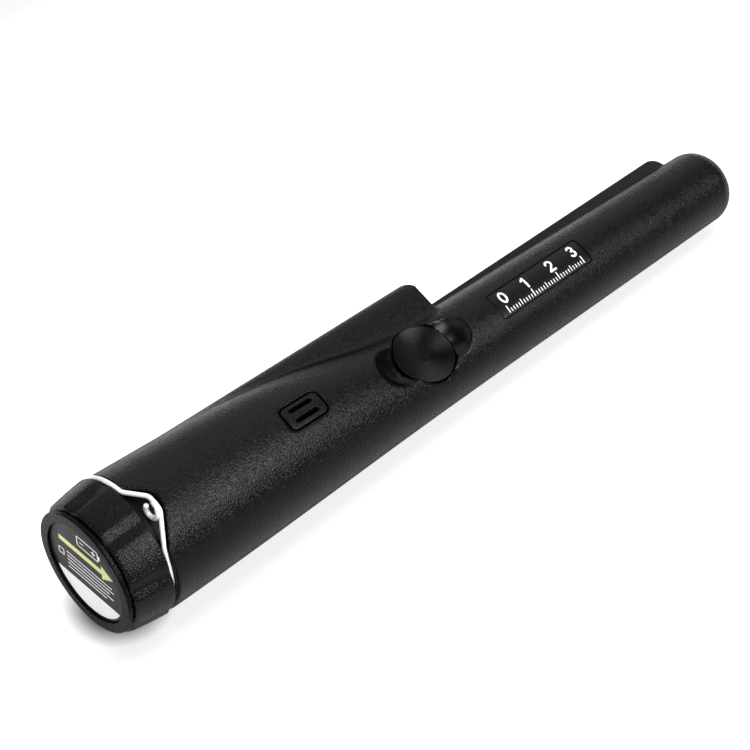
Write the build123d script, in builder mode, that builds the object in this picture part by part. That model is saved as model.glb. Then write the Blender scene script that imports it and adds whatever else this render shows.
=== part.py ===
from build123d import *
import math
import os

# Hand-held metal-detecting probe, lying on a table with its button up.
# Working directions: s runs along the handle axis from the rear seam to the
# tip, y points to the hump side, z is the direction the button faces.

# ---------------------------------------------------------------- dimensions
ROLL = 19.3            # how far the button leans over as the probe lies, degrees
TILT = 1.6264          # how far the axis dips towards the slim tip, degrees
SEAM = (-101.452, 0.0, 19.2334)   # where the centre of the rear seam stands

# swelling rear of the body, in three runs: position along the axis, radius,
# sideways shift of the centre
RUNS = [
    [(0.0, 19.000, 0.000), (12.5, 18.692, -0.293), (25.0, 18.350, -0.530),
     (37.5, 17.849, -0.866), (50.0, 17.064, -1.455)],
    [(50.0, 17.064, -1.455), (60.0, 16.171, -2.187), (70.0, 15.031, -3.175),
     (80.0, 13.823, -4.252), (90.0, 12.909, -5.065)],
    [(90.0, 12.909, -5.065), (97.5, 12.530, -5.390), (105.0, 12.360, -5.520),
     (112.5, 12.140, -5.600)],
]
# slim barrel: a cone round its own axis, from the first place to the second
BARREL = [(112.5, 12.250, -5.600), (209.4, 10.930, -6.910)]
BARREL_ROOT = 12.0     # how far the cone reaches back inside the rear form
WALL = 2.25
DOME, DOME_CORNER = 8.0, 6.5

# hump and scraping blade
HUMP_S0, HUMP_S1 = 8.0, 108.0
HUMP_R0, HUMP_R1 = 18.22, 16.59
HUMP_HALF = 8.0
BLADE_S1, BLADE_TOP, BLADE_T = 205.8, 8.15, 2.4

# thumb pocket and button
BTN_S, BTN_Y, BTN_R = 93.7, -4.93, 8.6
BTN_TOP, BTN_LOW = 10.2, 8.8
BTN_TRAVEL = 0.6
WELL_R, WELL_FLOOR = 9.0, 8.0
POCKET_A, POCKET_B, POCKET_R = (85.2, -4.5, 18.6), (101.1, -5.2, 17.6), 9.31
CEILING = 5.8
STEM_R, STEM_HOLE_R = 4.0, 4.3

# speaker grille
GRILLE_S, GRILLE_Y = 51.7, -1.6
GRILLE_L, GRILLE_W = 12.2, 6.45
GRILLE_GAP = 0.45

# label plate on the barrel
PLATE_S0, PLATE_S1, PLATE_HALF, PLATE_Y = 119.2, 154.9, 4.2, -6.08
PLATE_DEEP = 0.45

# rear collar, thread, cap
BORE_R = 14.5
NECK_R, NECK_END = 15.5, -8.5
LIP_R, LIP_T = 16.7, 0.95
PITCH = 3.0
THREAD_H = 0.65
CAP_FRONT, CAP_END = -1.3, -13.9
CAP_R0, CAP_R1 = 19.3, 17.15
FLANGE_R, FLANGE_S = 17.04, -12.3
FLUTES, FLUTE_R, FLUTE_DEPTH = 8, 6.5, 0.95
RIDGE_ANGLE = 16.0     # one ridge stands here, measured from z towards y
CAP_BORE = 16.3
GROOVE_S0, GROOVE_S1, GROOVE_R = -12.85, -11.8, 15.6   # groove between grip and end flange
LABEL_R, LABEL_T, LABEL_DEEP = 13.95, 0.3, 1.05

# lanyard wire
WIRE_R, RING_R, RING_S = 0.6, 18.12, -0.65
RING_Y, RING_Z = 0.482, 0.575   # the loose ring hangs to one side

# battery
BATT_L, BATT_W, BATT_T = 45.6, 25.8, 16.8
BATT_S0, BATT_Y, BATT_Z = -8.9, -0.2, 0.0

# board
PCB_TOP, PCB_T = -1.8, 1.6
PCB_S0, PCB_S1, PCB_Y0, PCB_Y1 = 47.0, 148.0, -13.0, 1.0

# lamp in the front of the hump
LED_Y, LED_R, BEZEL_R, BEZEL_FLANGE = 11.0, 1.48, 1.9, 2.55

# coil
COIL_Y = -6.65

os.makedirs("parts", exist_ok=True)

# ------------------------------------------------------------------- planes
_r, _t = math.radians(ROLL), math.radians(TILT)
XL = Vector(math.cos(_t), 0, -math.sin(_t))
YL = Vector(math.sin(_r) * math.sin(_t), math.cos(_r), math.sin(_r) * math.cos(_t))
ZL = Vector(math.cos(_r) * math.sin(_t), -math.sin(_r), math.cos(_r) * math.cos(_t))
BODY = Plane(origin=SEAM, x_dir=XL, z_dir=ZL)


def at(s, y=0.0, z=0.0):
    """Point of the part frame for a place on the probe."""
    return Vector(*SEAM) + XL * s + YL * y + ZL * z


def sec(s, y=0.0, z=0.0):
    """Cross-section plane, drawn in y and z, facing the tip."""
    return Plane(origin=at(s, y, z), x_dir=YL, z_dir=XL)


def level(h, s=0.0, y=0.0):
    """Plane parallel to the button's face, drawn in s and y."""
    return Plane(origin=at(s, y, h), x_dir=XL, z_dir=ZL)


def lengthwise(y, z=0.0):
    """Lengthwise plane, drawn in s and z."""
    return Plane(origin=at(0, y, z), x_dir=XL, z_dir=-YL)


def form(inset):
    """The lofted rear of the body, taken in by inset."""
    lofts = []
    for run in RUNS:
        with BuildPart() as f:
            for s, r, c in run:
                with BuildSketch(sec(s, c)):
                    Circle(r - inset)
            loft()
        lofts.append(f.part)
    with BuildPart() as whole:
        for piece in lofts:
            add(piece)
    return whole.part


def barrel(inset):
    """The slim barrel with its rounded tip, taken in by inset."""
    (s0, r0, c0), (s1, r1, c1) = BARREL
    run = at(s1, c1) - at(s0, c0)
    along = run.normalized()
    length = run.length
    r_root = r0 + (r0 - r1) * BARREL_ROOT / length
    k = r1 - DOME_CORNER
    cap = (DOME ** 2 + k ** 2 - DOME_CORNER ** 2) / (2 * (DOME - DOME_CORNER))
    mid = math.degrees(math.atan2(k, cap - DOME))
    with BuildPart() as b:
        with BuildSketch(Plane(origin=at(s0, c0), x_dir=along, z_dir=along.cross(ZL))):
            with BuildLine():
                Polyline((length + DOME - inset, 0), (-BARREL_ROOT, 0),
                         (-BARREL_ROOT, r_root - inset), (length, r1 - inset))
                CenterArc((length, k), DOME_CORNER - inset, mid, 90 - mid)
                CenterArc((length + DOME - cap, 0), cap - inset, 0, mid)
            make_face()
        revolve(axis=Axis(at(s0, c0), along))
    return b.part


def polar(radius, degrees):
    """y and z of a point round the axis, the angle from z towards y."""
    a = math.radians(degrees)
    return radius * math.sin(a), radius * math.cos(a)


def tube(points, radius, bend):
    """A round wire along straight runs joined by arcs."""
    with BuildPart() as w:
        with BuildLine() as path:
            if len(points) > 2:
                FilletPolyline(*[at(*p) for p in points], radius=bend)
            else:
                Polyline(*[at(*p) for p in points])
        start = Plane(origin=path.wire() @ 0, z_dir=path.wire() % 0)
        with BuildSketch(start):
            Circle(radius)
        sweep(path=path.wire())
    return w.part


def save(part, name):
    part.label = name
    export_step(part, f"parts/{name}.step")


# ------------------------------------------------------------- outer solids
OUTER = form(0.0)
OUTER_TIP = barrel(0.0)

with BuildPart() as hump:
    with BuildSketch(sec(HUMP_S0)):
        Circle(HUMP_R0)
    with BuildSketch(sec(HUMP_S1)):
        Circle(HUMP_R1)
    loft(ruled=True)
    with BuildSketch(sec(HUMP_S0 - 1, 11.0)):
        Rectangle(22.0, 2 * HUMP_HALF)
    extrude(amount=HUMP_S1 - HUMP_S0 + 2, mode=Mode.INTERSECT)
    ends = hump.faces().sort_by(Axis(at(0), XL))
    front = ends[-1]
    sides = [f for f in hump.faces() if abs(f.normal_at().dot(ZL)) > 0.99]
    crown = [f for f in hump.faces() if f.geom_type != GeomType.PLANE]
    top_edges = []
    for e in hump.edges():
        faces = [f for f in hump.faces() if any(x.is_same(e) for x in f.edges())]
        on_crown = any(f.is_same(c) for f in faces for c in crown)
        on_side = any(f.is_same(c) for f in faces for c in sides)
        on_front = any(f.is_same(front) for f in faces)
        if on_crown and (on_side or on_front):
            top_edges.append(e)
    fillet(top_edges, 2.8)

with BuildPart() as hump_core:
    with BuildSketch(sec(14.0)):
        Circle(HUMP_R0 - 2.3)
    with BuildSketch(sec(HUMP_S1 - 2.4)):
        Circle(HUMP_R1 - 2.3)
    loft(ruled=True)
    with BuildSketch(sec(13.0, 10.0)):
        Rectangle(20.0, 2 * (HUMP_HALF - 2.2))
    extrude(amount=HUMP_S1, mode=Mode.INTERSECT)

with BuildPart() as blade:
    with BuildSketch(level(-BLADE_T / 2, 0, 0)):
        with BuildLine():
            Polyline((104, -4), (104, BLADE_TOP), (BLADE_S1 - 0.4, BLADE_TOP),
                     (BLADE_S1 + 0.2, -4), close=True)
        make_face()
    extrude(amount=BLADE_T)
    far_corner = [e for e in blade.edges()
                  if abs((e.center() - at(BLADE_S1 - 0.4, BLADE_TOP, 0)).length) < 0.2
                  and abs((e % 0.5).dot(ZL)) > 0.99]
    fillet(far_corner, 3.2)
    rim = [e for e in blade.edges()
           if abs((e.center() - at(0)).dot(YL) - BLADE_TOP) < 0.05
           and abs((e % 0.5).dot(XL)) > 0.99]
    fillet(rim, 0.55)

# hollow of the housing
INNER = form(WALL)
INNER_TIP = barrel(WALL)

with BuildPart() as core:
    add(INNER)
    add(INNER_TIP)
    add(hump_core.part)
    # the floor of the thumb pocket hangs into the hollow
    with BuildSketch(level(CEILING, 93.0, -5.0)):
        Rectangle(33.0, 40.0)
    extrude(amount=20.0, mode=Mode.SUBTRACT)

# wedge that lets the lanyard wire into the rear rim
with BuildPart() as notch:
    with BuildSketch(level(10.0)):
        with BuildLine():
            Polyline((-2.0, 8.9), (0.0, 7.0), (4.2, 3.1), (5.0, 1.6), (5.15, 0.0),
                     (5.05, -1.8), (4.4, -3.5), (0.0, -11.5), (-2.0, -14.5), close=True)
        make_face()
    extrude(amount=14.0)

# long bowl pressed into the top, where the thumb rests
with BuildPart() as pocket:
    ends = [at(*POCKET_A), at(*POCKET_B)]
    with BuildSketch(Plane(origin=ends[0], z_dir=ends[1] - ends[0])):
        Circle(POCKET_R)
    extrude(amount=(ends[1] - ends[0]).length)
    with Locations(*ends):
        Sphere(POCKET_R)

SCREW_SPOTS = [(7.4, 8.9), (4.8, -10.9), (-7.8, -10.9)]

with BuildPart() as housing:
    add(OUTER)
    add(OUTER_TIP)
    add(hump.part)
    add(blade.part)
    add(core.part, mode=Mode.SUBTRACT)
    add(notch.part, mode=Mode.SUBTRACT)
    # oval pocket, then the round well the button sinks into
    add(pocket.part, mode=Mode.SUBTRACT)
    with BuildSketch(level(WELL_FLOOR, BTN_S, BTN_Y)):
        Circle(WELL_R)
    extrude(amount=10.0, mode=Mode.SUBTRACT)
    with BuildSketch(level(CEILING - 1, BTN_S, BTN_Y)):
        Circle(STEM_HOLE_R)
    extrude(amount=5.0, mode=Mode.SUBTRACT)
    with BuildSketch(level(6.35, BTN_S, BTN_Y)):
        Circle(5.35)
    extrude(amount=1.1, mode=Mode.SUBTRACT)
    # window for the grille
    with BuildSketch(level(11.0, GRILLE_S, GRILLE_Y)):
        RectangleRounded(GRILLE_L + 2 * GRILLE_GAP, GRILLE_W + 2 * GRILLE_GAP, 2.0)
    extrude(amount=9.0, mode=Mode.SUBTRACT)
    # seat of the LED bezel in the front face of the hump
    with BuildSketch(sec(HUMP_S1 - 4.0, LED_Y)):
        Circle(BEZEL_R + 0.03)
    extrude(amount=6.0, mode=Mode.SUBTRACT)
    # bosses for the chassis screws
    for y, z in SCREW_SPOTS:
        with BuildSketch(sec(44.7, y, z)):
            Circle(2.4)
        extrude(amount=13.0)
    for y, z in SCREW_SPOTS:
        with BuildSketch(sec(44.0, y, z)):
            Circle(0.9)
        extrude(amount=10.5, mode=Mode.SUBTRACT)

# shallow recess of the label plate
PLATE_UNDER = barrel(PLATE_DEEP)
PLATE_OVER = barrel(0.12)
with BuildPart() as recess:
    with BuildSketch(level(2.0, (PLATE_S0 + PLATE_S1) / 2, PLATE_Y)):
        RectangleRounded(PLATE_S1 - PLATE_S0, 2 * PLATE_HALF, 0.7)
    extrude(amount=14.0)
    add(PLATE_UNDER, mode=Mode.SUBTRACT)

with BuildPart() as housing_done:
    add(housing.part)
    add(recess.part, mode=Mode.SUBTRACT)

with BuildPart() as label_plate:
    with BuildSketch(level(2.0, (PLATE_S0 + PLATE_S1) / 2, PLATE_Y)):
        RectangleRounded(PLATE_S1 - PLATE_S0 - 0.24, 2 * PLATE_HALF - 0.24, 0.6)
    extrude(amount=14.0)
    add(PLATE_OVER, mode=Mode.INTERSECT)
    add(PLATE_UNDER, mode=Mode.SUBTRACT)

save(housing_done.part, "housing")
save(label_plate.part, "label_plate")

# ------------------------------------------------------------ speaker grille
with BuildPart() as speaker_grille:
    with BuildSketch(level(12.9, GRILLE_S, GRILLE_Y)):
        RectangleRounded(GRILLE_L, GRILLE_W, 1.55)
    extrude(amount=7.0)
    add(OUTER, mode=Mode.INTERSECT)
    with BuildSketch(level(12.1, GRILLE_S, GRILLE_Y)):
        RectangleRounded(GRILLE_L + 2.4, GRILLE_W + 2.4, 2.6)
    extrude(amount=0.8)
    with BuildSketch(level(11.0, GRILLE_S, GRILLE_Y)):
        with Locations((-0.05, 1.6), (-0.05, -1.4)):
            SlotOverall(7.6, 1.25)
    extrude(amount=9.0, mode=Mode.SUBTRACT)
save(speaker_grille.part, "speaker_grille")

# ------------------------------------------------------------------ collar
with BuildPart() as threaded_collar:
    with BuildSketch(sec(NECK_END)):
        Circle(NECK_R)
    extrude(amount=-NECK_END)
    with BuildSketch(sec(-LIP_T)):
        Circle(LIP_R)
    extrude(amount=LIP_T)
    with BuildSketch(sec(0.0)):
        Circle(16.3)
    extrude(amount=8.0)
    with BuildSketch(sec(NECK_END - 1)):
        Circle(BORE_R)
    extrude(amount=20.0, mode=Mode.SUBTRACT)
    with BuildLine() as male:
        Helix(PITCH, 4.8, NECK_R, center=at(-2.5), direction=-XL)
    _p = male.line @ 0
    _c = at(-2.5)
    with BuildSketch(Plane(origin=_p, x_dir=(_p - _c), z_dir=male.line % 0)):
        with BuildLine():
            Polyline((-0.25, -0.6), (THREAD_H, -0.3), (THREAD_H, 0.3), (-0.25, 0.6),
                     close=True)
        make_face()
    sweep(path=male.line, is_frenet=True)
save(threaded_collar.part, "threaded_collar")

# --------------------------------------------------------------------- cap
SLOPE = (CAP_R0 - CAP_R1) / (CAP_FRONT - FLANGE_S)
LEAN = math.degrees(math.atan(SLOPE))

with BuildPart() as battery_cap:
    with BuildSketch(lengthwise(0.0)):
        with BuildLine():
            Polyline((CAP_FRONT, 0), (CAP_FRONT, CAP_R0), (FLANGE_S, CAP_R1),
                     (CAP_END, FLANGE_R - 0.1), (CAP_END, 0), close=True)
        make_face()
    revolve(axis=Axis(at(0), XL))
    # finger flutes that stop at the end flange
    for k in range(FLUTES):
        a = RIDGE_ANGLE + 180.0 / FLUTES + k * 360.0 / FLUTES
        ya, za = polar(1.0, a)
        out = YL * ya + ZL * za
        r0 = CAP_R0 - FLUTE_DEPTH + FLUTE_R
        r1 = CAP_R1 - FLUTE_DEPTH + FLUTE_R
        p0 = at(CAP_FRONT) + out * r0
        p1 = at(FLANGE_S) + out * r1
        run = (p1 - p0).normalized()
        with BuildSketch(Plane(origin=p0 - run * 2.0, z_dir=run)):
            Circle(FLUTE_R)
        extrude(amount=(p1 - p0).length + 2.0, mode=Mode.SUBTRACT)
    with BuildSketch(sec(GROOVE_S0)):
        Circle(CAP_R0 + 1.0)
        Circle(GROOVE_R, mode=Mode.SUBTRACT)
    extrude(amount=GROOVE_S1 - GROOVE_S0, mode=Mode.SUBTRACT)
    # inside: thread bore, then the pocket behind the battery
    with BuildSketch(sec(-9.4)):
        Circle(CAP_BORE)
    extrude(amount=10.0, mode=Mode.SUBTRACT)
    with BuildSketch(sec(-11.5)):
        Circle(14.7)
    extrude(amount=4.0, mode=Mode.SUBTRACT)
    # label recess in the end
    with BuildSketch(sec(CAP_END - 1.0)):
        Circle(LABEL_R + 0.15)
    extrude(amount=1.0 + LABEL_DEEP, mode=Mode.SUBTRACT)
    with BuildLine() as female:
        Helix(PITCH, 3.9, CAP_BORE, center=at(-4.0), direction=-XL)
    _p = female.line @ 0
    _c = at(-4.0)
    with BuildSketch(Plane(origin=_p, x_dir=(_p - _c), z_dir=female.line % 0)):
        with BuildLine():
            Polyline((0.25, -0.6), (-THREAD_H, -0.3), (-THREAD_H, 0.3), (0.25, 0.6),
                     close=True)
        make_face()
    sweep(path=female.line, is_frenet=True)
    rim = [e for e in battery_cap.edges()
           if abs((e.center() - at(CAP_END)).dot(XL)) < 0.05 and e.geom_type == GeomType.CIRCLE
           and e.radius > 16.0]
    fillet(rim, 0.45)
save(battery_cap.part, "battery_cap")

with BuildPart() as cap_label:
    with BuildSketch(sec(CAP_END + LABEL_DEEP - LABEL_T)):
        Circle(LABEL_R)
    extrude(amount=LABEL_T)
save(cap_label.part, "cap_label")

with BuildPart() as cap_gasket:
    with BuildSketch(sec(-9.38)):
        Circle(16.2)
        Circle(14.75, mode=Mode.SUBTRACT)
    extrude(amount=0.85)
save(cap_gasket.part, "cap_gasket")

with BuildPart() as cap_pad:
    with BuildSketch(sec(-11.48)):
        Circle(13.6)
    extrude(amount=2.5)
    fillet(cap_pad.edges().group_by(Axis(at(0), XL))[-1], 0.6)
save(cap_pad.part, "cap_pad")

# ------------------------------------------------------------ lanyard wire
A0, A3 = 19.3, -37.7
KINK = [(2.8, 1.09, 20.40), (2.8, -1.46, 20.67), (2.8, -3.26, 20.37)]
EYE, EYE_R, EYE_LEAN = (1.85, -2.03, 18.75), 1.9, 0.55


def ring_point(degrees):
    y, z = polar(RING_R, degrees)
    return (RING_S, y + RING_Y, z + RING_Z)


with BuildPart() as lanyard_ring:
    # long way round the collar
    with BuildSketch(Plane(origin=at(*ring_point(A0)), x_dir=XL,
                           z_dir=YL * math.cos(math.radians(A0)) - ZL * math.sin(math.radians(A0)))):
        Circle(WIRE_R)
    revolve(axis=Axis(at(RING_S, RING_Y, RING_Z), -XL), revolution_arc=360.0 - (A0 - A3))
    # legs of the kink
    stops = [ring_point(A0)] + KINK + [ring_point(A3)]
    for p, q in zip(stops, stops[1:]):
        v = at(*q) - at(*p)
        with BuildSketch(Plane(origin=at(*p), z_dir=v.normalized())):
            Circle(WIRE_R)
        extrude(amount=v.length)
    for p in stops:
        with Locations(at(*p)):
            Sphere(WIRE_R)
    # open eye, turned out of the kink
    up = (ZL * EYE_R + XL * EYE_LEAN).normalized()
    flat = up.cross(YL)
    with BuildSketch(Plane(origin=at(*EYE) + up * EYE_R, x_dir=up, z_dir=YL)):
        Circle(WIRE_R)
    revolve(axis=Axis(at(*EYE), -flat), revolution_arc=285.0)
save(lanyard_ring.part, "lanyard_ring")

# --------------------------------------------------------------- the button
with BuildPart() as power_button:
    with BuildSketch(level(BTN_LOW, BTN_S, BTN_Y)):
        Circle(BTN_R)
    extrude(amount=BTN_TOP - BTN_LOW)
    fillet(power_button.edges().group_by(Axis(at(0), ZL))[-1], 0.45)
    DISH_R = (7.7 ** 2 + 0.75 ** 2) / (2 * 0.75)
    with Locations(at(BTN_S, BTN_Y, BTN_TOP - 0.75 + DISH_R)):
        Sphere(DISH_R, mode=Mode.SUBTRACT)
    with BuildSketch(level(2.5, BTN_S, BTN_Y)):
        Circle(STEM_R)
    extrude(amount=BTN_LOW - 2.5)
    with BuildSketch(level(4.95, BTN_S, BTN_Y)):
        Circle(STEM_R + 0.5)
        Circle(3.4, mode=Mode.SUBTRACT)
    extrude(amount=0.7, mode=Mode.SUBTRACT)
save(power_button.part, "power_button")

with BuildPart() as button_clip:
    with BuildSketch(level(5.0, BTN_S, BTN_Y)):
        Circle(5.6)
        Circle(3.42, mode=Mode.SUBTRACT)
        with Locations((4.5, 0)):
            Rectangle(5.0, 3.0, mode=Mode.SUBTRACT)
    extrude(amount=0.6)
save(button_clip.part, "button_clip")

with BuildPart() as button_seal:
    with BuildSketch(level(6.4, BTN_S, BTN_Y)):
        Circle(5.3)
        Circle(4.06, mode=Mode.SUBTRACT)
    extrude(amount=1.0)
    fillet(button_seal.edges(), 0.25)
save(button_seal.part, "button_seal")

with BuildPart() as tact_switch:
    with BuildSketch(level(PCB_TOP, BTN_S, BTN_Y)):
        Rectangle(6.0, 6.0)
    extrude(amount=3.4)
    with BuildSketch(level(0.0, BTN_S, BTN_Y)):
        Circle(1.85)
    extrude(amount=3.0, mode=Mode.SUBTRACT)
save(tact_switch.part, "tact_switch")

with BuildPart() as switch_plunger:
    with BuildSketch(level(0.7, BTN_S, BTN_Y)):
        Circle(1.75)
    extrude(amount=1.8)
save(switch_plunger.part, "switch_plunger")

# -------------------------------------------------------------- the battery
BATT_S1 = BATT_S0 + BATT_L
with BuildPart() as battery:
    with BuildSketch(sec(BATT_S0, BATT_Y, BATT_Z)):
        RectangleRounded(BATT_W, BATT_T, 3.5)
    extrude(amount=BATT_L)
    fillet(battery.edges().group_by(Axis(at(0), XL))[0], 0.6)
save(battery.part, "battery")

with BuildPart() as battery_terminals:
    with BuildSketch(sec(BATT_S1, BATT_Y, BATT_Z)):
        with Locations((6.35, 0)):
            Circle(2.9)
        with Locations((-6.35, 0)):
            RegularPolygon(4.3, 6)
            Circle(3.0, mode=Mode.SUBTRACT)
    extrude(amount=2.8)
save(battery_terminals.part, "battery_terminals")

with BuildPart() as battery_contacts:
    with BuildSketch(sec(BATT_S1 + 0.3, BATT_Y, BATT_Z)):
        with Locations((6.35, 0)):
            Circle(4.1)
            Circle(3.0, mode=Mode.SUBTRACT)
        with Locations((-6.35, 0)):
            Circle(2.85)
    extrude(amount=39.8 - BATT_S1 - 0.3)
save(battery_contacts.part, "battery_contacts")

with BuildPart() as contact_board:
    with BuildSketch(sec(39.8, BATT_Y, BATT_Z)):
        RectangleRounded(24.0, 12.0, 1.0)
    extrude(amount=1.2)
save(contact_board.part, "contact_board")

# ----------------------------------------------------- chassis and its screws
LEAD_SPOTS = [(-2.5, -1.1), (-9.5, -1.1)]
BOARD_SPOTS = [(64.0, -11.0), (64.0, -1.0), (141.0, -11.0), (141.0, -1.0)]
with BuildPart() as inner_chassis:
    with BuildSketch(sec(41.1, -1.1)):
        Circle(14.3)
    extrude(amount=3.3)
    with BuildSketch(level(-5.8)):
        with Locations(((44.0 + 150.0) / 2, -6.0)):
            Rectangle(106.0, 12.4)
    extrude(amount=1.6)
    for s, y in BOARD_SPOTS:
        with BuildSketch(level(-4.3, s, y)):
            Circle(1.8)
        extrude(amount=PCB_TOP - PCB_T + 4.3)
    for s, y in BOARD_SPOTS:
        with BuildSketch(level(-6.5, s, y)):
            Circle(0.95)
        extrude(amount=5.0, mode=Mode.SUBTRACT)
    for y, z in SCREW_SPOTS:
        with BuildSketch(sec(40.0, y, z)):
            Circle(1.3)
        extrude(amount=6.0, mode=Mode.SUBTRACT)
    for y, z in LEAD_SPOTS:
        with BuildSketch(sec(40.0, y, z)):
            Circle(0.9)
        extrude(amount=6.0, mode=Mode.SUBTRACT)
save(inner_chassis.part, "inner_chassis")

with BuildPart() as chassis_screws:
    for y, z in SCREW_SPOTS:
        with BuildSketch(sec(41.1, y, z)):
            Circle(1.9)
        extrude(amount=-1.2)
        with BuildSketch(sec(41.1, y, z)):
            Circle(0.85)
        extrude(amount=12.0)
        with BuildSketch(sec(39.9, y, z)):
            Rectangle(2.2, 0.5)
            Rectangle(0.5, 2.2)
        extrude(amount=0.6, mode=Mode.SUBTRACT)
save(chassis_screws.part, "chassis_screws")

with BuildPart() as battery_leads:
    for y, z in LEAD_SPOTS:
        with BuildSketch(sec(41.05, y, z)):
            Circle(0.6)
        extrude(amount=7.2)
save(battery_leads.part, "battery_leads")

# ---------------------------------------------------------------- the board
with BuildPart() as main_pcb:
    with BuildSketch(level(PCB_TOP - PCB_T)):
        with Locations(((PCB_S0 + PCB_S1) / 2, (PCB_Y0 + PCB_Y1) / 2)):
            RectangleRounded(PCB_S1 - PCB_S0, PCB_Y1 - PCB_Y0, 1.0)
        for s, y in BOARD_SPOTS:
            with Locations((s, y)):
                Circle(1.0, mode=Mode.SUBTRACT)
    extrude(amount=PCB_T)
save(main_pcb.part, "main_pcb")

with BuildPart() as pcb_screws:
    for s, y in BOARD_SPOTS:
        with BuildSketch(level(PCB_TOP, s, y)):
            Circle(1.65)
        extrude(amount=1.1)
        with BuildSketch(level(-5.7, s, y)):
            Circle(0.9)
        extrude(amount=PCB_TOP + 5.7)
        with BuildSketch(level(PCB_TOP + 0.6, s, y)):
            Rectangle(1.9, 0.45)
            Rectangle(0.45, 1.9)
        extrude(amount=0.6, mode=Mode.SUBTRACT)
save(pcb_screws.part, "pcb_screws")

with BuildPart() as ic_chips:
    for s, y, l, w, h in [(82.0, -6.0, 10.2, 7.4, 2.2), (106.0, -6.2, 5.0, 6.0, 1.6),
                          (120.0, -6.2, 7.0, 7.0, 1.4)]:
        with BuildSketch(level(PCB_TOP, s, y)):
            Rectangle(l, w)
        extrude(amount=h)
save(ic_chips.part, "ic_chips")

with BuildPart() as capacitors:
    for s, y, r, h in [(71.5, -9.6, 2.5, 7.0), (71.5, -3.4, 2.5, 7.0), (112.4, -2.6, 2.0, 5.0)]:
        with BuildSketch(level(PCB_TOP, s, y)):
            Circle(r)
        extrude(amount=h)
save(capacitors.part, "capacitors")

with BuildPart() as chip_resistors:
    with BuildSketch(level(PCB_TOP)):
        with Locations((100.5, -9.0), (100.5, -6.5), (100.5, -4.0), (127.0, -9.5), (127.0, -7.0),
                       (127.0, -4.5), (131.0, -9.5), (131.0, -7.0), (131.0, -4.5)):
            Rectangle(2.0, 1.25)
    extrude(amount=0.6)
save(chip_resistors.part, "chip_resistors")

with BuildPart() as buzzer:
    with BuildSketch(level(PCB_TOP, 54.3, -5.5)):
        Circle(6.0)
    extrude(amount=9.0)
    with BuildSketch(level(PCB_TOP + 7.0, 54.3, -5.5)):
        Circle(1.2)
    extrude(amount=3.0, mode=Mode.SUBTRACT)
    fillet(buzzer.edges().group_by(Axis(at(0), ZL))[-1].sort_by(SortBy.LENGTH)[-1], 0.5)
save(buzzer.part, "buzzer")

# -------------------------------------------------- vibration motor, weight
MOT_Y, MOT_Z = -1.5, -9.0
with BuildPart() as vibration_motor:
    with BuildSketch(sec(49.0, MOT_Y, MOT_Z)):
        Circle(3.0)
    extrude(amount=12.0)
    fillet(vibration_motor.edges(), 0.35)
    with BuildSketch(sec(57.9, MOT_Y, MOT_Z)):
        Circle(0.55)
    extrude(amount=4.0, mode=Mode.SUBTRACT)
save(vibration_motor.part, "vibration_motor")

with BuildPart() as motor_shaft:
    with BuildSketch(sec(58.0, MOT_Y, MOT_Z)):
        Circle(0.5)
    extrude(amount=8.2)
save(motor_shaft.part, "motor_shaft")

# the heavy half hangs straight down
with BuildPart() as eccentric_weight:
    with BuildSketch(Plane(origin=at(62.0, MOT_Y, MOT_Z), x_dir=(0, 1, 0), z_dir=XL)):
        Circle(2.5)
        with Locations((0, 2.4)):
            Rectangle(6.0, 3.2, mode=Mode.SUBTRACT)
        Circle(1.1)
        Circle(0.5, mode=Mode.SUBTRACT)
    extrude(amount=4.0)
save(eccentric_weight.part, "eccentric_weight")

with BuildPart() as motor_clip:
    with BuildSketch(sec(52.0, MOT_Y, -7.9)):
        Rectangle(7.6, 4.2)
    extrude(amount=5.5)
    with BuildSketch(sec(51.0, MOT_Y, MOT_Z)):
        Circle(3.05)
    extrude(amount=8.0, mode=Mode.SUBTRACT)
save(motor_clip.part, "motor_clip")

# --------------------------------------------------------------------- LED
with BuildPart() as led:
    with BuildSketch(lengthwise(LED_Y)):
        with BuildLine():
            Polyline((101.5, 0), (101.5, LED_R + 0.4), (102.4, LED_R + 0.4),
                     (102.4, LED_R), (107.4, LED_R))
            CenterArc((107.4, 0), LED_R, 0, 90)
            Line((107.4 + LED_R, 0), (101.5, 0))
        make_face()
    revolve(axis=Axis(at(0, LED_Y), XL))
save(led.part, "led")

with BuildPart() as led_bezel:
    with BuildSketch(sec(105.0, LED_Y)):
        Circle(BEZEL_R)
        Circle(LED_R + 0.04, mode=Mode.SUBTRACT)
    extrude(amount=3.4)
    with BuildSketch(sec(HUMP_S1 + 0.02, LED_Y)):
        Circle(BEZEL_FLANGE)
        Circle(LED_R + 0.04, mode=Mode.SUBTRACT)
    extrude(amount=0.45)
save(led_bezel.part, "led_bezel")

LEADS = [tube([(101.5, LED_Y + 0.4, d), (97.5, LED_Y + 0.4, d), (97.5, 2.6, d),
               (97.5, 0.6, d * 0.9 - 0.2)], 0.28, 0.9) for d in (-1.27, 1.27)]
with BuildPart() as led_leads:
    for w in LEADS:
        add(w)
save(led_leads.part, "led_leads")

# --------------------------------------------------------------- search coil
with BuildPart() as ferrite_rod:
    with BuildSketch(sec(159.0, COIL_Y)):
        Circle(4.5)
    extrude(amount=49.5)
save(ferrite_rod.part, "ferrite_rod")

with BuildPart() as coil_former:
    with BuildSketch(sec(158.0, COIL_Y)):
        Circle(5.5)
    extrude(amount=51.0)
    for s in (158.0, 183.0, 207.0):
        with BuildSketch(sec(s, COIL_Y)):
            Circle(7.6)
        extrude(amount=2.0)
    with BuildSketch(sec(158.9, COIL_Y)):
        Circle(4.53)
    extrude(amount=52.0, mode=Mode.SUBTRACT)
save(coil_former.part, "coil_former")

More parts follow.
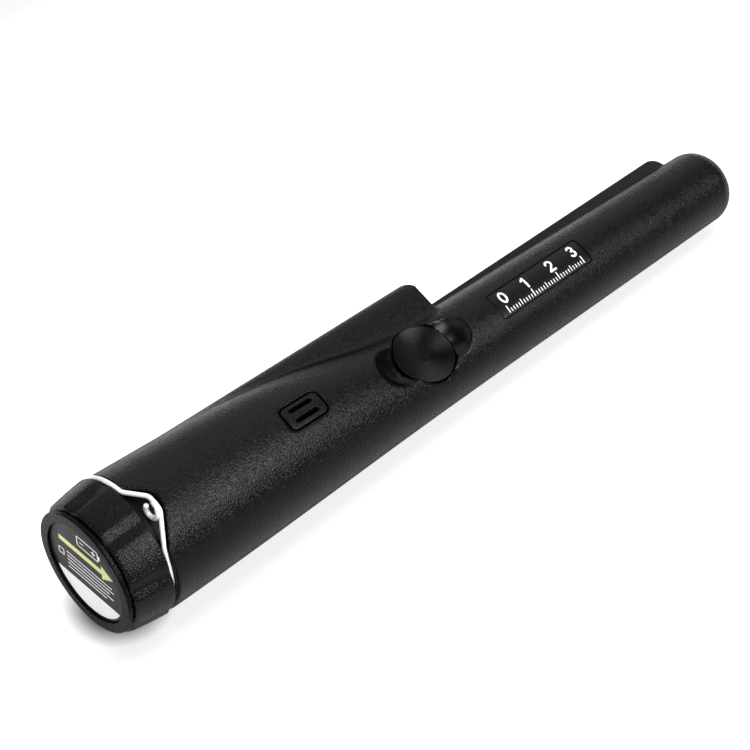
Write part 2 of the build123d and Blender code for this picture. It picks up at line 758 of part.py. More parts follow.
for name, s0, s1 in [("receive_coil", 160.2, 182.8), ("transmit_coil", 185.2, 206.8)]:
    with BuildPart() as coil:
        with BuildSketch(sec(s0, COIL_Y)):
            Circle(7.2)
            Circle(5.53, mode=Mode.SUBTRACT)
        extrude(amount=s1 - s0)
    save(coil.part, name)

with BuildPart() as coil_leads:
    for y in (-9.4, -7.6, -5.8, -4.0):
        with BuildSketch(sec(143.5, y, PCB_TOP + 0.42)):
            Circle(0.4)
        extrude(amount=14.45)
save(coil_leads.part, "coil_leads")

with BuildPart() as tip_cushion:
    with BuildSketch(sec(209.05, COIL_Y)):
        Circle(5.5)
    extrude(amount=3.6)
save(tip_cushion.part, "tip_cushion")
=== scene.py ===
import math

import bmesh
import bpy
import numpy as np
from mathutils import Matrix, Vector

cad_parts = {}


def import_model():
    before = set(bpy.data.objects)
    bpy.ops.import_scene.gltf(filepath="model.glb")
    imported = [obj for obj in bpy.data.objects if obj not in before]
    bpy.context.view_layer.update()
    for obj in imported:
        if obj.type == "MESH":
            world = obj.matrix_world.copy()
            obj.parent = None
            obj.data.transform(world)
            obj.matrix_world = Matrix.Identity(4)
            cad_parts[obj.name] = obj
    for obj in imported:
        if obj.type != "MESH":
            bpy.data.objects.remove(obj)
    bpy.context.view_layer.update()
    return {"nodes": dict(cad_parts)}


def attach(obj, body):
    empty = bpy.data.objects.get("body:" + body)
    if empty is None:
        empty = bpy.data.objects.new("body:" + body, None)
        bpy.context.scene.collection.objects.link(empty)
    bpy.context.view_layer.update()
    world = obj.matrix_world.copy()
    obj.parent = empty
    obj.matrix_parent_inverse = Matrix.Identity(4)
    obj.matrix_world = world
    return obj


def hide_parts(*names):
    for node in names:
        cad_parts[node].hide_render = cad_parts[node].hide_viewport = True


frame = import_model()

# ------------------------------------------------------------ working frame
# s runs along the handle axis from the rear seam to the tip, y points to the
# hump side, z is the direction the button faces; lengths in millimetres.
ROLL, TILT = math.radians(19.3), math.radians(1.6264)
SEAM = np.array([-101.452, 0.0, 19.2334])
XL = np.array([math.cos(TILT), 0.0, -math.sin(TILT)])
YL = np.array([math.sin(ROLL) * math.sin(TILT), math.cos(ROLL), math.sin(ROLL) * math.cos(TILT)])
ZL = np.array([math.cos(ROLL) * math.sin(TILT), -math.sin(ROLL), math.cos(ROLL) * math.cos(TILT)])
AXES = np.array([XL, YL, ZL])


def world(p):
    return (SEAM + np.asarray(p, float) @ AXES) * 0.001


def direction(v):
    return np.asarray(v, float) @ AXES


# ------------------------------------------------------------- dimensions
STATIONS = np.array([0, 12.5, 25, 37.5, 50, 60, 70, 80, 90, 97.5, 105, 112.5, 145, 177, 209.4])
RADII = np.array([19, 18.692, 18.35, 17.849, 17.064, 16.171, 15.031, 13.823, 12.909, 12.53,
                  12.36, 12.25, 11.807, 11.371, 10.93])
SHIFTS = np.array([0, -.293, -.53, -.866, -1.455, -2.187, -3.175, -4.252, -5.065, -5.39,
                   -5.52, -5.60, -6.039, -6.472, -6.91])
TIP_S = 209.4
DOME, DOME_CORNER = 8.0, 6.5
WALL = 2.25

HUMP_S0, HUMP_S1, HUMP_R0, HUMP_R1, HUMP_HALF = 8.0, 108.0, 18.22, 16.59, 8.0
BLADE_S0, BLADE_S1, BLADE_TOP, BLADE_HALF, BLADE_DRAFT = 104.0, 205.8, 8.15, 1.2, math.radians(16)

BTN_S, BTN_Y, BTN_R, BTN_TOP, BTN_LOW = 93.7, -4.93, 8.6, 10.2, 8.8
WELL_R, WELL_FLOOR, CEILING = 9.0, 8.0, 5.8
PAINTED_SHADE_LINE = 43.5
POCKET_A, POCKET_B, POCKET_R = np.array([85.2, -4.5, 18.6]), np.array([101.1, -5.2, 17.6]), 9.31

GRILLE_S, GRILLE_Y, GRILLE_L, GRILLE_W, GRILLE_GAP = 51.7, -1.6, 12.2, 6.45, 0.45
PLATE_S0, PLATE_S1, PLATE_HALF, PLATE_Y = 119.2, 154.9, 4.2, -6.08

CAP_FRONT, CAP_END = -1.6, -13.9
CAP_R0, FLANGE_R, FLUTES, FLUTE_AT = 19.3, 17.04, 8, math.radians(-7.5)
CAP_BORE = 16.3
GROOVE_S0, GROOVE_S1, GROOVE_R = -13.1, -12.25, 16.2
LABEL_R, LABEL_T, LABEL_DEEP = 13.95, 0.3, 1.05
LED_Y = 11.0

WIRE_R, RING_R, RING_S = 0.6, 18.12, -0.65


# ------------------------------------------------------------ form of the body
def spline(x, y):
    """Natural cubic through the stations; returns a function of s."""
    n = len(x)
    h = np.diff(x)
    a = np.zeros((n, n))
    b = np.zeros(n)
    a[0, 0] = a[-1, -1] = 1
    for i in range(1, n - 1):
        a[i, i - 1], a[i, i], a[i, i + 1] = h[i - 1], 2 * (h[i - 1] + h[i]), h[i]
        b[i] = 6 * ((y[i + 1] - y[i]) / h[i] - (y[i] - y[i - 1]) / h[i - 1])
    m = np.linalg.solve(a, b)

    def f(q):
        q = np.clip(q, x[0], x[-1])
        i = np.clip(np.searchsorted(x, q) - 1, 0, n - 2)
        hi = h[i]
        u, v = (x[i + 1] - q) / hi, (q - x[i]) / hi
        return u * y[i] + v * y[i + 1] + ((u ** 3 - u) * m[i] + (v ** 3 - v) * m[i + 1]) * hi * hi / 6
    return f


radius_at = spline(STATIONS, RADII)
shift_at = spline(STATIONS, SHIFTS)
DRIFT = (SHIFTS[-1] - SHIFTS[-2]) / (STATIONS[-1] - STATIONS[-2])


def meet(a, b, r):
    """Both, with the outer corner rounded."""
    return np.minimum(-r, np.maximum(a, b)) + np.hypot(np.maximum(r + a, 0), np.maximum(r + b, 0))


def join(a, b, r):
    """Either, with the inner corner filleted."""
    return np.maximum(r, np.minimum(a, b)) - np.hypot(np.maximum(r - a, 0), np.maximum(r - b, 0))


def rod(s, y, z, inset=0.0):
    """The tapering round body with its blunt tip."""
    x = s - TIP_S
    c = shift_at(s) + np.where(x > 0, DRIFT * x, 0)
    rho = np.hypot(y - c, z)
    side = rho - radius_at(s)
    r1 = RADII[-1]
    k = r1 - DOME_CORNER
    cap = (DOME ** 2 + k ** 2 - DOME_CORNER ** 2) / (2 * (DOME - DOME_CORNER))
    mid = math.atan2(k, cap - DOME)
    xc = DOME - cap
    corner = np.hypot(x, rho - k) - DOME_CORNER
    front = np.hypot(x - xc, rho) - cap
    tip = np.where(rho * math.cos(mid) > (x - xc) * math.sin(mid), corner, front)
    return np.where(x > 0, tip, side) + inset


def hump(s, y, z):
    crown = np.hypot(y, z) - (HUMP_R0 + (HUMP_R1 - HUMP_R0) * (s - HUMP_S0) / (HUMP_S1 - HUMP_S0))
    side = np.abs(z) - HUMP_HALF
    front = s - HUMP_S1
    d = np.maximum(meet(crown, side, 2.8), meet(crown, front, 2.8))
    d = np.maximum(d, meet(side, front, 0.8))
    return np.maximum(d, -y)


def blade(s, y, z):
    outline = meet(s - BLADE_S1, y - BLADE_TOP, 3.2)
    side = (np.abs(z) - BLADE_HALF) * math.cos(BLADE_DRAFT) - (BLADE_TOP - 1.5 - y) * math.sin(BLADE_DRAFT)
    d = meet(outline, side, 0.3)
    return np.maximum(np.maximum(d, BLADE_S0 - s), -8.0 - y)


def pocket(s, y, z):
    """Long bowl under the thumb."""
    run = POCKET_B - POCKET_A
    t = np.clip(((s - POCKET_A[0]) * run[0] + (y - POCKET_A[1]) * run[1] + (z - POCKET_A[2]) * run[2])
                / (run @ run), 0, 1)
    return np.sqrt((s - POCKET_A[0] - t * run[0]) ** 2 + (y - POCKET_A[1] - t * run[1]) ** 2
                   + (z - POCKET_A[2] - t * run[2]) ** 2) - POCKET_R


def well(s, y, z):
    return np.maximum(np.hypot(s - BTN_S, y - BTN_Y) - WELL_R, WELL_FLOOR - z)


def box2(u, v, hu, hv, r):
    """Distance to a rectangle with rounded corners."""
    a, b = np.abs(u) - (hu - r), np.abs(v) - (hv - r)
    return np.hypot(np.maximum(a, 0), np.maximum(b, 0)) + np.minimum(np.maximum(a, b), 0) - r


def window(s, y, z):
    d = box2(s - GRILLE_S, y - GRILLE_Y, GRILLE_L / 2 + GRILLE_GAP, GRILLE_W / 2 + GRILLE_GAP, 2.0)
    return np.maximum(d, 11.0 - z)


NOTCH = np.array([(-2.0, 8.9), (0.0, 7.0), (4.2, 3.1), (5.0, 1.6), (5.15, 0.0), (5.05, -1.8),
                  (4.4, -3.5), (0.0, -11.5), (-2.0, -14.5)])


def notch(s, y, z):
    """Wedge in the rear rim that lets the lanyard wire in."""
    out = np.full(np.shape(s), 9.0)
    near = (s < 9) & (z > 6)
    p = np.stack([s[near], y[near]], -1)
    d = np.full(len(p), 1e9)
    inside = np.zeros(len(p), bool)
    for a, b in zip(NOTCH, np.roll(NOTCH, -1, axis=0)):
        e, w = b - a, p - a
        t = np.clip((w @ e) / (e @ e), 0, 1)
        d = np.minimum(d, np.linalg.norm(w - t[:, None] * e, axis=1))
        crosses = (a[1] > p[:, 1]) != (b[1] > p[:, 1])
        with np.errstate(divide="ignore", invalid="ignore"):
            x = a[0] + (p[:, 1] - a[1]) * e[0] / e[1]
        inside ^= crosses & (p[:, 0] < x)
    out[near] = np.maximum(np.where(inside, -d, d), 10.0 - z[near])
    return out


def shell(s, y, z):
    """Outside of the housing."""
    d = rod(s, y, z)
    blend = 1.3 * np.clip((s - 18.0) / 45.0, 0.03, 1)
    d = join(d, hump(s, y, z), blend)
    d = join(d, blade(s, y, z), 0.5)
    d = meet(d, -pocket(s, y, z), 0.35)
    d = meet(d, -well(s, y, z), 0.25)
    d = meet(d, -window(s, y, z), 0.25)
    d = meet(d, -notch(s, y, z), 0.2)
    return meet(d, -s, 0.25)


def hollow(s, y, z):
    """Inside of the housing."""
    d = rod(s, y, z, WALL)
    ceiling = np.maximum(np.abs(s - 93.0) - 16.5, CEILING - z)
    inner = np.maximum(np.hypot(y, z) - (HUMP_R0 - 2.3 + (HUMP_R1 - HUMP_R0) * (s - HUMP_S0) / 100.0),
                       np.maximum(np.abs(z) - HUMP_HALF + 2.2, np.maximum(14.0 - s, s - HUMP_S1 + 2.4)))
    d = np.minimum(d, np.maximum(inner, -y))
    d = np.maximum(d, -ceiling)
    return np.maximum(d, -2.0 - s)


def gradient(field, p, e=0.02):
    g = np.empty_like(p)
    for k in range(3):
        q = p.copy()
        q[:, k] += e
        a = field(*q.T)
        q[:, k] -= 2 * e
        g[:, k] = a - field(*q.T)
    return g / np.maximum(np.linalg.norm(g, axis=1), 1e-12)[:, None]


def skin(field, lo, hi, h):
    """Quads over the zero surface of a field, with its edges kept crisp."""
    lo, hi = np.array(lo, float), np.array(hi, float)
    n = np.ceil((hi - lo) / h).astype(int) + 1
    ax = [lo[k] + h * np.arange(n[k]) for k in range(3)]
    f = np.empty(n)
    step = 24
    for i in range(0, n[0], step):
        g = np.meshgrid(ax[0][i:i + step], ax[1], ax[2], indexing="ij")
        f[i:i + step] = field(*[q.ravel() for q in g]).reshape(g[0].shape)
    inside = f < 0
    cells = n - 1
    flat, pts, nrm, quads = [], [], [], []
    for a in range(3):
        b, c = (a + 1) % 3, (a + 2) % 3
        first = [slice(None)] * 3
        second = [slice(None)] * 3
        first[a], second[a] = slice(0, -1), slice(1, None)
        change = inside[tuple(first)] != inside[tuple(second)]
        idx = np.argwhere(change)
        p0 = lo + idx * h
        nxt = idx.copy()
        nxt[:, a] += 1
        f0, f1 = f[tuple(idx.T)], f[tuple(nxt.T)]
        t0, t1 = np.zeros(len(idx)), np.ones(len(idx))
        for _ in range(3):
            t = np.clip(t0 + (t1 - t0) * f0 / (f0 - f1), t0, t1)
            q = p0.copy()
            q[:, a] += t * h
            ft = field(*q.T)
            same = (ft < 0) == (f0 < 0)
            t0, f0 = np.where(same, t, t0), np.where(same, ft, f0)
            t1, f1 = np.where(same, t1, t), np.where(same, f1, ft)
            f0, f1 = np.where(f0 == f1, f0 - 1e-12, f0), f1
        g = gradient(field, q)
        around = []
        ok = np.ones(len(idx), bool)
        for db, dc in ((0, 0), (-1, 0), (-1, -1), (0, -1)):
            cell = idx.copy()
            cell[:, b] += db
            cell[:, c] += dc
            good = ((cell >= 0) & (cell < cells)).all(1)
            ok &= good
            k = np.where(good, np.ravel_multi_index(np.clip(cell, 0, cells - 1).T, cells), -1)
            around.append(k)
            flat.append(k[good])
            pts.append(q[good])
            nrm.append(g[good])
        quad = np.stack(around, 1)[ok]
        outward = (f[tuple(idx.T)] < 0)[ok]
        quad[~outward] = quad[~outward][:, ::-1]
        quads.append(quad)
    flat, pts, nrm = np.concatenate(flat), np.concatenate(pts), np.concatenate(nrm)
    used, slot = np.unique(flat, return_inverse=True)
    m = len(used)
    count = np.bincount(slot, minlength=m)
    mean = np.stack([np.bincount(slot, pts[:, k], m) for k in range(3)], 1) / count[:, None]
    rel = pts - mean[slot]
    ata = np.zeros((m, 3, 3))
    atb = np.zeros((m, 3))
    d = (nrm * rel).sum(1)
    for i in range(3):
        atb[:, i] = np.bincount(slot, nrm[:, i] * d, m)
        for j in range(i, 3):
            ata[:, i, j] = ata[:, j, i] = np.bincount(slot, nrm[:, i] * nrm[:, j], m)
    ata += 0.06 * np.eye(3)
    move = np.linalg.solve(ata, atb[:, :, None])[:, :, 0]
    length = np.linalg.norm(move, axis=1)
    move *= np.minimum(1, 0.7 * h / np.maximum(length, 1e-9))[:, None]
    v = mean + move
    for _ in range(2):
        g = gradient(field, v)
        d = np.clip(field(*v.T), -0.15 * h, 0.15 * h)
        v = v - g * d[:, None]
    lookup = np.full(int(np.prod(cells)), -1)
    lookup[used] = np.arange(m)
    q = lookup[np.concatenate(quads)]
    return v, q


# ---------------------------------------------------------------- mesh helpers
def mesh_object(name, verts, faces, smooth_angle=None):
    me = bpy.data.meshes.new(name)
    me.from_pydata([tuple(p) for p in world(verts)], [], [tuple(int(i) for i in f) for f in faces])
    me.validate()
    me.update()
    me.polygons.foreach_set("use_smooth", np.ones(len(me.polygons), bool))
    if smooth_angle is not None:
        me.set_sharp_from_angle(angle=math.radians(smooth_angle))
    ob = bpy.data.objects.new(name, me)
    bpy.context.scene.collection.objects.link(ob)
    return ob


def grid_faces(rows, cols, wrap=True, base=0):
    out = []
    for i in range(rows - 1):
        for j in range(cols if wrap else cols - 1):
            a, b = i * cols + j, i * cols + (j + 1) % cols
            out.append((base + a, base + b, base + b + cols, base + a + cols))
    return out


def lathe(profile, centre, axis="z", segments=96, close_start=True, close_end=True):
    """Turned form: profile of (radius, height) round a line through centre."""
    ang = np.linspace(0, 2 * math.pi, segments, endpoint=False)
    verts = []
    for r, h in profile:
        if axis == "z":
            verts += [(centre[0] + r * math.cos(t), centre[1] + r * math.sin(t), h) for t in ang]
        else:
            verts += [(h, centre[0] + r * math.sin(t), centre[1] + r * math.cos(t)) for t in ang]
    faces = grid_faces(len(profile), segments)
    if close_start:
        faces.append(tuple(range(segments))[::-1])
    if close_end:
        base = (len(profile) - 1) * segments
        faces.append(tuple(range(base, base + segments)))
    return verts, faces


def arc(cx, cy, r, a0, a1, n):
    return [(cx + r * math.cos(math.radians(a)), cy + r * math.sin(math.radians(a)))
            for a in np.linspace(a0, a1, n)]


def tube_mesh(path, r, sides=14, closed=False, base=0):
    """Round wire along dense points, with a frame carried along it."""
    p = np.asarray(path, float)
    n = len(p)
    r = np.broadcast_to(r, n)
    if closed:
        t = np.roll(p, -1, 0) - np.roll(p, 1, 0)
    else:
        t = np.gradient(p, axis=0)
    t /= np.linalg.norm(t, axis=1)[:, None]
    u = np.cross(t[0], (0.3, 0.5, 0.81))
    u /= np.linalg.norm(u)
    frames = []
    for i in range(n):
        u = u - t[i] * (u @ t[i])
        u /= np.linalg.norm(u)
        frames.append((u.copy(), np.cross(t[i], u)))
    twist = 0.0
    if closed:
        end = frames[-1][0] - t[0] * (frames[-1][0] @ t[0])
        twist = math.atan2(end @ frames[0][1], end @ frames[0][0])
    verts = []
    for i in range(n):
        a, b = frames[i]
        off = -twist * i / n
        for k in range(sides):
            q = 2 * math.pi * k / sides + off
            verts.append(p[i] + r[i] * (math.cos(q) * a + math.sin(q) * b))
    faces = grid_faces(n, sides, base=base)
    if closed:
        for k in range(sides):
            a, b = (n - 1) * sides + k, (n - 1) * sides + (k + 1) % sides
            faces.append((base + a, base + b, base + (k + 1) % sides, base + k))
    else:
        faces.append(tuple(base + k for k in range(sides))[::-1])
        faces.append(tuple(base + (n - 1) * sides + k for k in range(sides)))
    return verts, faces


def fix_normals(ob):
    bm = bmesh.new()
    bm.from_mesh(ob.data)
    bmesh.ops.recalc_face_normals(bm, faces=bm.faces)
    bm.to_mesh(ob.data)
    bm.free()


# ------------------------------------------------------------------- camera
CAM_C = np.array([-191.66260862, -129.17943712, 447.32197042])
CAM_R = np.array([0.7135204090180668, -0.654258341740274, 0.25066840283122566])
CAM_U = np.array([0.48059985504800457, 0.7173757774156175, 0.5043766185155448])
CAM_F = np.array([0.5098160503971287, 0.2394118130765591, -0.8262987223255687])
cam_data = bpy.data.cameras.new("camera")
cam_data.sensor_width = 36.0
cam_data.lens = 36.0 * 2050.0 / 750.0
cam_data.clip_start, cam_data.clip_end = 0.01, 20.0
camera = bpy.data.objects.new("camera", cam_data)
bpy.context.scene.collection.objects.link(camera)
rot = np.stack([direction(CAM_R), direction(CAM_U), -direction(CAM_F)], 1)
camera.matrix_world = Matrix.Translation(Vector(world(CAM_C - 0.122 * CAM_R + 0.122 * CAM_U))) @ Matrix(rot.tolist()).to_4x4()
bpy.context.scene.camera = camera


# ---------------------------------------------------------------- materials
def material(name):
    m = bpy.data.materials.new(name)
    m.use_nodes = True
    nt = m.node_tree
    bsdf = nt.nodes["Principled BSDF"]
    return m, nt, bsdf


def coords(nt):
    tc = nt.nodes.new("ShaderNodeTexCoord")
    return tc.outputs["Object"]


def noise(nt, vec, scale, detail=2.0, rough=0.5, dist=0.0):
    n = nt.nodes.new("ShaderNodeTexNoise")
    n.inputs["Scale"].default_value = scale
    n.inputs["Detail"].default_value = detail
    n.inputs["Roughness"].default_value = rough
    n.inputs["Distortion"].default_value = dist
    nt.links.new(vec, n.inputs["Vector"])
    return n.outputs["Fac"]


def ramp(nt, fac, stops):
    r = nt.nodes.new("ShaderNodeValToRGB")
    e = r.color_ramp.elements
    e[0].position, e[0].color = stops[0][0], stops[0][1]
    e[1].position, e[1].color = stops[-1][0], stops[-1][1]
    for pos, col in stops[1:-1]:
        x = e.new(pos)
        x.color = col
    nt.links.new(fac, r.inputs["Fac"])
    return r.outputs["Color"]


def grey(v, warm=0.0):
    return (v * (1 + warm), v, v * (1 - warm), 1)


def spread(nt, fac, a, b, lo=0.3, hi=0.7):
    """Value running from a to b as the pattern goes from lo to hi."""
    r = nt.nodes.new("ShaderNodeMapRange")
    r.inputs["From Min"].default_value, r.inputs["From Max"].default_value = lo, hi
    r.inputs["To Min"].default_value, r.inputs["To Max"].default_value = a, b
    nt.links.new(fac, r.inputs["Value"])
    return r.outputs["Result"]


def bump(nt, height, strength, distance, normal=None):
    b = nt.nodes.new("ShaderNodeBump")
    if isinstance(strength, float):
        b.inputs["Strength"].default_value = strength
    else:
        nt.links.new(strength, b.inputs["Strength"])
    b.inputs["Distance"].default_value = distance
    nt.links.new(height, b.inputs["Height"])
    if normal is not None:
        nt.links.new(normal, b.inputs["Normal"])
    return b.outputs["Normal"]


def plastic(name, dark, light, rough, rough_var, grain=0.0, grain_height=0.0, mottle=60.0, ior=1.27, mask=None, matt_edge=False, gloss_and_painted_shade=None):
    """Moulded plastic: faint mottling, uneven gloss, and a fine moulded grain."""
    m, nt, b = material(name)
    vec = coords(nt)
    broad = noise(nt, vec, mottle, 3.0, 0.6)
    nt.links.new(ramp(nt, broad, [(0.3, dark), (0.7, light)]), b.inputs["Base Color"])
    nt.links.new(spread(nt, noise(nt, vec, mottle * 2.7, 4.0, 0.6), rough - rough_var, rough + rough_var),
                 b.inputs["Roughness"])
    b.inputs["IOR"].default_value = ior
    if matt_edge:
        # the grain scatters what a smooth skin would mirror at a glancing angle
        lw = nt.nodes.new("ShaderNodeLayerWeight")
        lw.inputs["Blend"].default_value = 0.5
        level = ramp(nt, lw.outputs["Facing"], [(0.14, grey(0.5)), (0.30, grey(0.38)), (0.46, grey(0.36)),
                                                (0.56, grey(0.31)), (0.84, grey(0.015))])
        # a mesh attribute lowers the reflection further: a duller finish on the cap flange, and painted shade in the
        # pocket's rear corner
        if gloss_and_painted_shade:
            a = nt.nodes.new("ShaderNodeAttribute")
            a.attribute_name = gloss_and_painted_shade
            part = nt.nodes.new("ShaderNodeMath")
            part.operation = "MULTIPLY"
            nt.links.new(level, part.inputs[0])
            nt.links.new(a.outputs["Fac"], part.inputs[1])
            level = part.outputs[0]
        nt.links.new(level, b.inputs["Specular IOR Level"])
    if grain:
        strength = 1.0
        if mask:
            a = nt.nodes.new("ShaderNodeAttribute")
            a.attribute_name = mask
            strength = a.outputs["Fac"]
        nt.links.new(bump(nt, noise(nt, vec, grain, 0.0, 0.5), strength, grain_height), b.inputs["Normal"])
    return m


def metal(name, dark, light, rough, rough_var, scale=900.0, height=0.0, metallic=1.0):
    m, nt, b = material(name)
    vec = coords(nt)
    n = noise(nt, vec, scale, 3.0, 0.6)
    nt.links.new(ramp(nt, n, [(0.3, dark), (0.7, light)]), b.inputs["Base Color"])
    nt.links.new(spread(nt, noise(nt, vec, scale * 0.4, 3.0), rough - rough_var, rough + rough_var),
                 b.inputs["Roughness"])
    b.inputs["Metallic"].default_value = metallic
    if height:
        nt.links.new(bump(nt, n, 1.0, height), b.inputs["Normal"])
    return m


def foam(name, dark, light, cells, depth):
    """Open cells, with painted shade darkening their bottoms."""
    m, nt, b = material(name)
    vec = coords(nt)
    v = nt.nodes.new("ShaderNodeTexVoronoi")
    v.inputs["Scale"].default_value = cells
    nt.links.new(vec, v.inputs["Vector"])
    nt.links.new(ramp(nt, v.outputs["Distance"], [(0.0, dark), (0.6, light)]), b.inputs["Base Color"])
    nt.links.new(spread(nt, noise(nt, vec, cells * 0.3), 0.78, 0.95), b.inputs["Roughness"])
    nt.links.new(bump(nt, v.outputs["Distance"], 1.0, depth), b.inputs["Normal"])
    return m


def winding(name, dark, light, pitch):
    """Enamelled wire laid turn beside turn along the handle."""
    m, nt, b = material(name)
    vec = coords(nt)
    w = nt.nodes.new("ShaderNodeTexWave")
    w.wave_type, w.bands_direction, w.wave_profile = "BANDS", "X", "SIN"
    w.inputs["Scale"].default_value = 0.314 / pitch
    w.inputs["Distortion"].default_value = 0.25
    w.inputs["Detail Scale"].default_value = 0.6
    nt.links.new(vec, w.inputs["Vector"])
    # painted shade: the colour is darker in the grooves between turns and lighter on their crests
    nt.links.new(ramp(nt, w.outputs["Fac"], [(0.1, dark), (0.8, light)]), b.inputs["Base Color"])
    nt.links.new(spread(nt, noise(nt, vec, 400.0), 0.22, 0.36), b.inputs["Roughness"])
    b.inputs["Metallic"].default_value = 0.85
    nt.links.new(bump(nt, w.outputs["Fac"], 1.0, pitch * 0.4), b.inputs["Normal"])
    return m


def laminate(name, board, track, size):
    """Circuit board: solder mask over a net of copper tracks."""
    m, nt, b = material(name)
    vec = coords(nt)
    k = nt.nodes.new("ShaderNodeTexBrick")
    k.inputs["Color1"].default_value = board
    k.inputs["Color2"].default_value = tuple(c * 0.8 for c in board[:3]) + (1,)
    k.inputs["Mortar"].default_value = track
    k.inputs["Scale"].default_value = 1.0 / size
    k.inputs["Mortar Size"].default_value = 0.035
    k.inputs["Mortar Smooth"].default_value = 0.2
    nt.links.new(vec, k.inputs["Vector"])
    nt.links.new(k.outputs["Color"], b.inputs["Base Color"])
    nt.links.new(spread(nt, noise(nt, vec, 500.0), 0.28, 0.42), b.inputs["Roughness"])
    nt.links.new(bump(nt, k.outputs["Fac"], 1.0, 0.00003), b.inputs["Normal"])
    return m


def banded(name, stops, axis, lo, hi, rough):
    """Colours that change along one direction of the object, with a fine print mottle."""
    m, nt, b = material(name)
    vec = coords(nt)
    sep = nt.nodes.new("ShaderNodeSeparateXYZ")
    nt.links.new(vec, sep.inputs["Vector"])
    pos = spread(nt, sep.outputs[axis], 0.0, 1.0, lo, hi)
    r = nt.nodes.new("ShaderNodeValToRGB")
    r.color_ramp.interpolation = "CONSTANT"
    e = r.color_ramp.elements
    e[0].position, e[0].color = stops[0]
    e[1].position, e[1].color = stops[1]
    for place, col in stops[2:]:
        e.new(place).color = col
    nt.links.new(pos, r.inputs["Fac"])
    nt.links.new(r.outputs["Color"], b.inputs["Base Color"])
    nt.links.new(spread(nt, noise(nt, vec, 700.0, 3.0), rough - 0.06, rough + 0.06), b.inputs["Roughness"])
    nt.links.new(bump(nt, noise(nt, vec, 1500.0), 1.0, 0.000008), b.inputs["Normal"])
    return m


GRAIN, GRAIN_H = 2800.0, 0.00014
SHELL = plastic("shell_grained", grey(0.0015), grey(0.0023), 0.28, 0.04, GRAIN, GRAIN_H, ior=1.245, mask="grain", matt_edge=True, gloss_and_painted_shade="gloss_and_painted_shade")
CAPPED = plastic("cap_grained", grey(0.0011), grey(0.0018), 0.28, 0.04, GRAIN, GRAIN_H, ior=1.245, matt_edge=True, gloss_and_painted_shade="gloss_and_painted_shade")
INSERT = plastic("grille_grained", grey(0.0015), grey(0.0023), 0.29, 0.04, GRAIN, GRAIN_H * 0.8, ior=1.245, matt_edge=True)
BUTTON = plastic("button_satin", grey(0.0014), grey(0.0021), 0.26, 0.04, 3200.0, 0.000010, ior=1.22)
PLATE = plastic("plate_satin", grey(0.0018), grey(0.0027), 0.32, 0.04, 3000.0, 0.00004, ior=1.245, matt_edge=True)
FILM = plastic("label_film", grey(0.011), grey(0.014), 0.42, 0.05, 3000.0, 0.000012, ior=1.2)
INK_WHITE = plastic("ink_white", grey(0.86), grey(0.92), 0.50, 0.06, 2600.0, 0.000006, ior=1.4)
INK_LIME = plastic("ink_lime", (0.66, 0.66, 0.24, 1), (0.74, 0.74, 0.30, 1), 0.50, 0.06, 2600.0, 0.000006, ior=1.4)
COLLAR = plastic("collar_plastic", grey(0.0022), grey(0.0034), 0.42, 0.06, 1800.0, 0.00001, ior=1.2)
WIRE = metal("wire_polished", (0.92, 0.92, 0.91, 1), (0.97, 0.97, 0.96, 1), 0.34, 0.05, 1500.0, 0.000002, metallic=0.35)
STEEL = metal("spring_steel", (0.46, 0.47, 0.48, 1), (0.60, 0.61, 0.62, 1), 0.28, 0.06, 1200.0, 0.000003)
SCREW = metal("screw_zinc", (0.55, 0.55, 0.53, 1), (0.70, 0.70, 0.67, 1), 0.32, 0.07, 1500.0, 0.000004)
NICKEL = metal("contact_nickel", (0.66, 0.65, 0.61, 1), (0.78, 0.77, 0.73, 1), 0.22, 0.05, 1300.0, 0.000002)
CAN = metal("motor_can", (0.56, 0.56, 0.55, 1), (0.68, 0.68, 0.67, 1), 0.30, 0.06, 1000.0, 0.000003)
TUNGSTEN = metal("weight_sintered", (0.28, 0.27, 0.25, 1), (0.40, 0.39, 0.36, 1), 0.46, 0.08, 2200.0, 0.00002)
CHROME = metal("bezel_bright", (0.60, 0.60, 0.61, 1), (0.72, 0.72, 0.73, 1), 0.16, 0.05, 1600.0, 0.000002)
COPPER = winding("coil_winding", (0.30, 0.10, 0.04, 1), (0.80, 0.36, 0.16, 1), 0.00032)
ENAMEL = metal("lead_enamel", (0.62, 0.25, 0.10, 1), (0.78, 0.36, 0.16, 1), 0.28, 0.06, 1800.0, 0.000003)
TINNED = metal("lead_tinned", (0.62, 0.62, 0.60, 1), (0.74, 0.74, 0.72, 1), 0.30, 0.06, 1800.0, 0.000003)
RUBBER = plastic("rubber_black", grey(0.006), grey(0.010), 0.70, 0.10, 2400.0, 0.00004, ior=1.4)
FOAM = foam("foam_dark", grey(0.010), grey(0.045), 1700.0, 0.0003)
BOARD = laminate("board_laminate", (0.012, 0.085, 0.035, 1), (0.045, 0.19, 0.085, 1), 0.006)
CHASSIS = plastic("chassis_plastic", grey(0.030), grey(0.040), 0.48, 0.06, 1800.0, 0.00003, ior=1.45)
EPOXY = plastic("chip_epoxy", grey(0.008), grey(0.014), 0.52, 0.08, 3500.0, 0.00002, ior=1.5)
CERAMIC = plastic("chip_ceramic", (0.20, 0.15, 0.09, 1), (0.27, 0.20, 0.12, 1), 0.45, 0.08, 3500.0, 0.00001, ior=1.5)
FERRITE = plastic("ferrite_grey", grey(0.018), grey(0.034), 0.58, 0.08, 1800.0, 0.00004, ior=1.6)
SWITCH = plastic("switch_black", grey(0.008), grey(0.012), 0.44, 0.06, 2000.0, 0.00001, ior=1.45)
PLUNGER = plastic("plunger_brown", (0.16, 0.075, 0.03, 1), (0.20, 0.10, 0.045, 1), 0.40, 0.06, 2000.0, 0.00001, ior=1.45)
BUZZER = plastic("buzzer_black", grey(0.007), grey(0.011), 0.40, 0.06, 2000.0, 0.00002, ior=1.45)
LENS = plastic("led_epoxy", (0.66, 0.68, 0.70, 1), (0.76, 0.78, 0.80, 1), 0.10, 0.04, 900.0, 0.000004, ior=1.5)
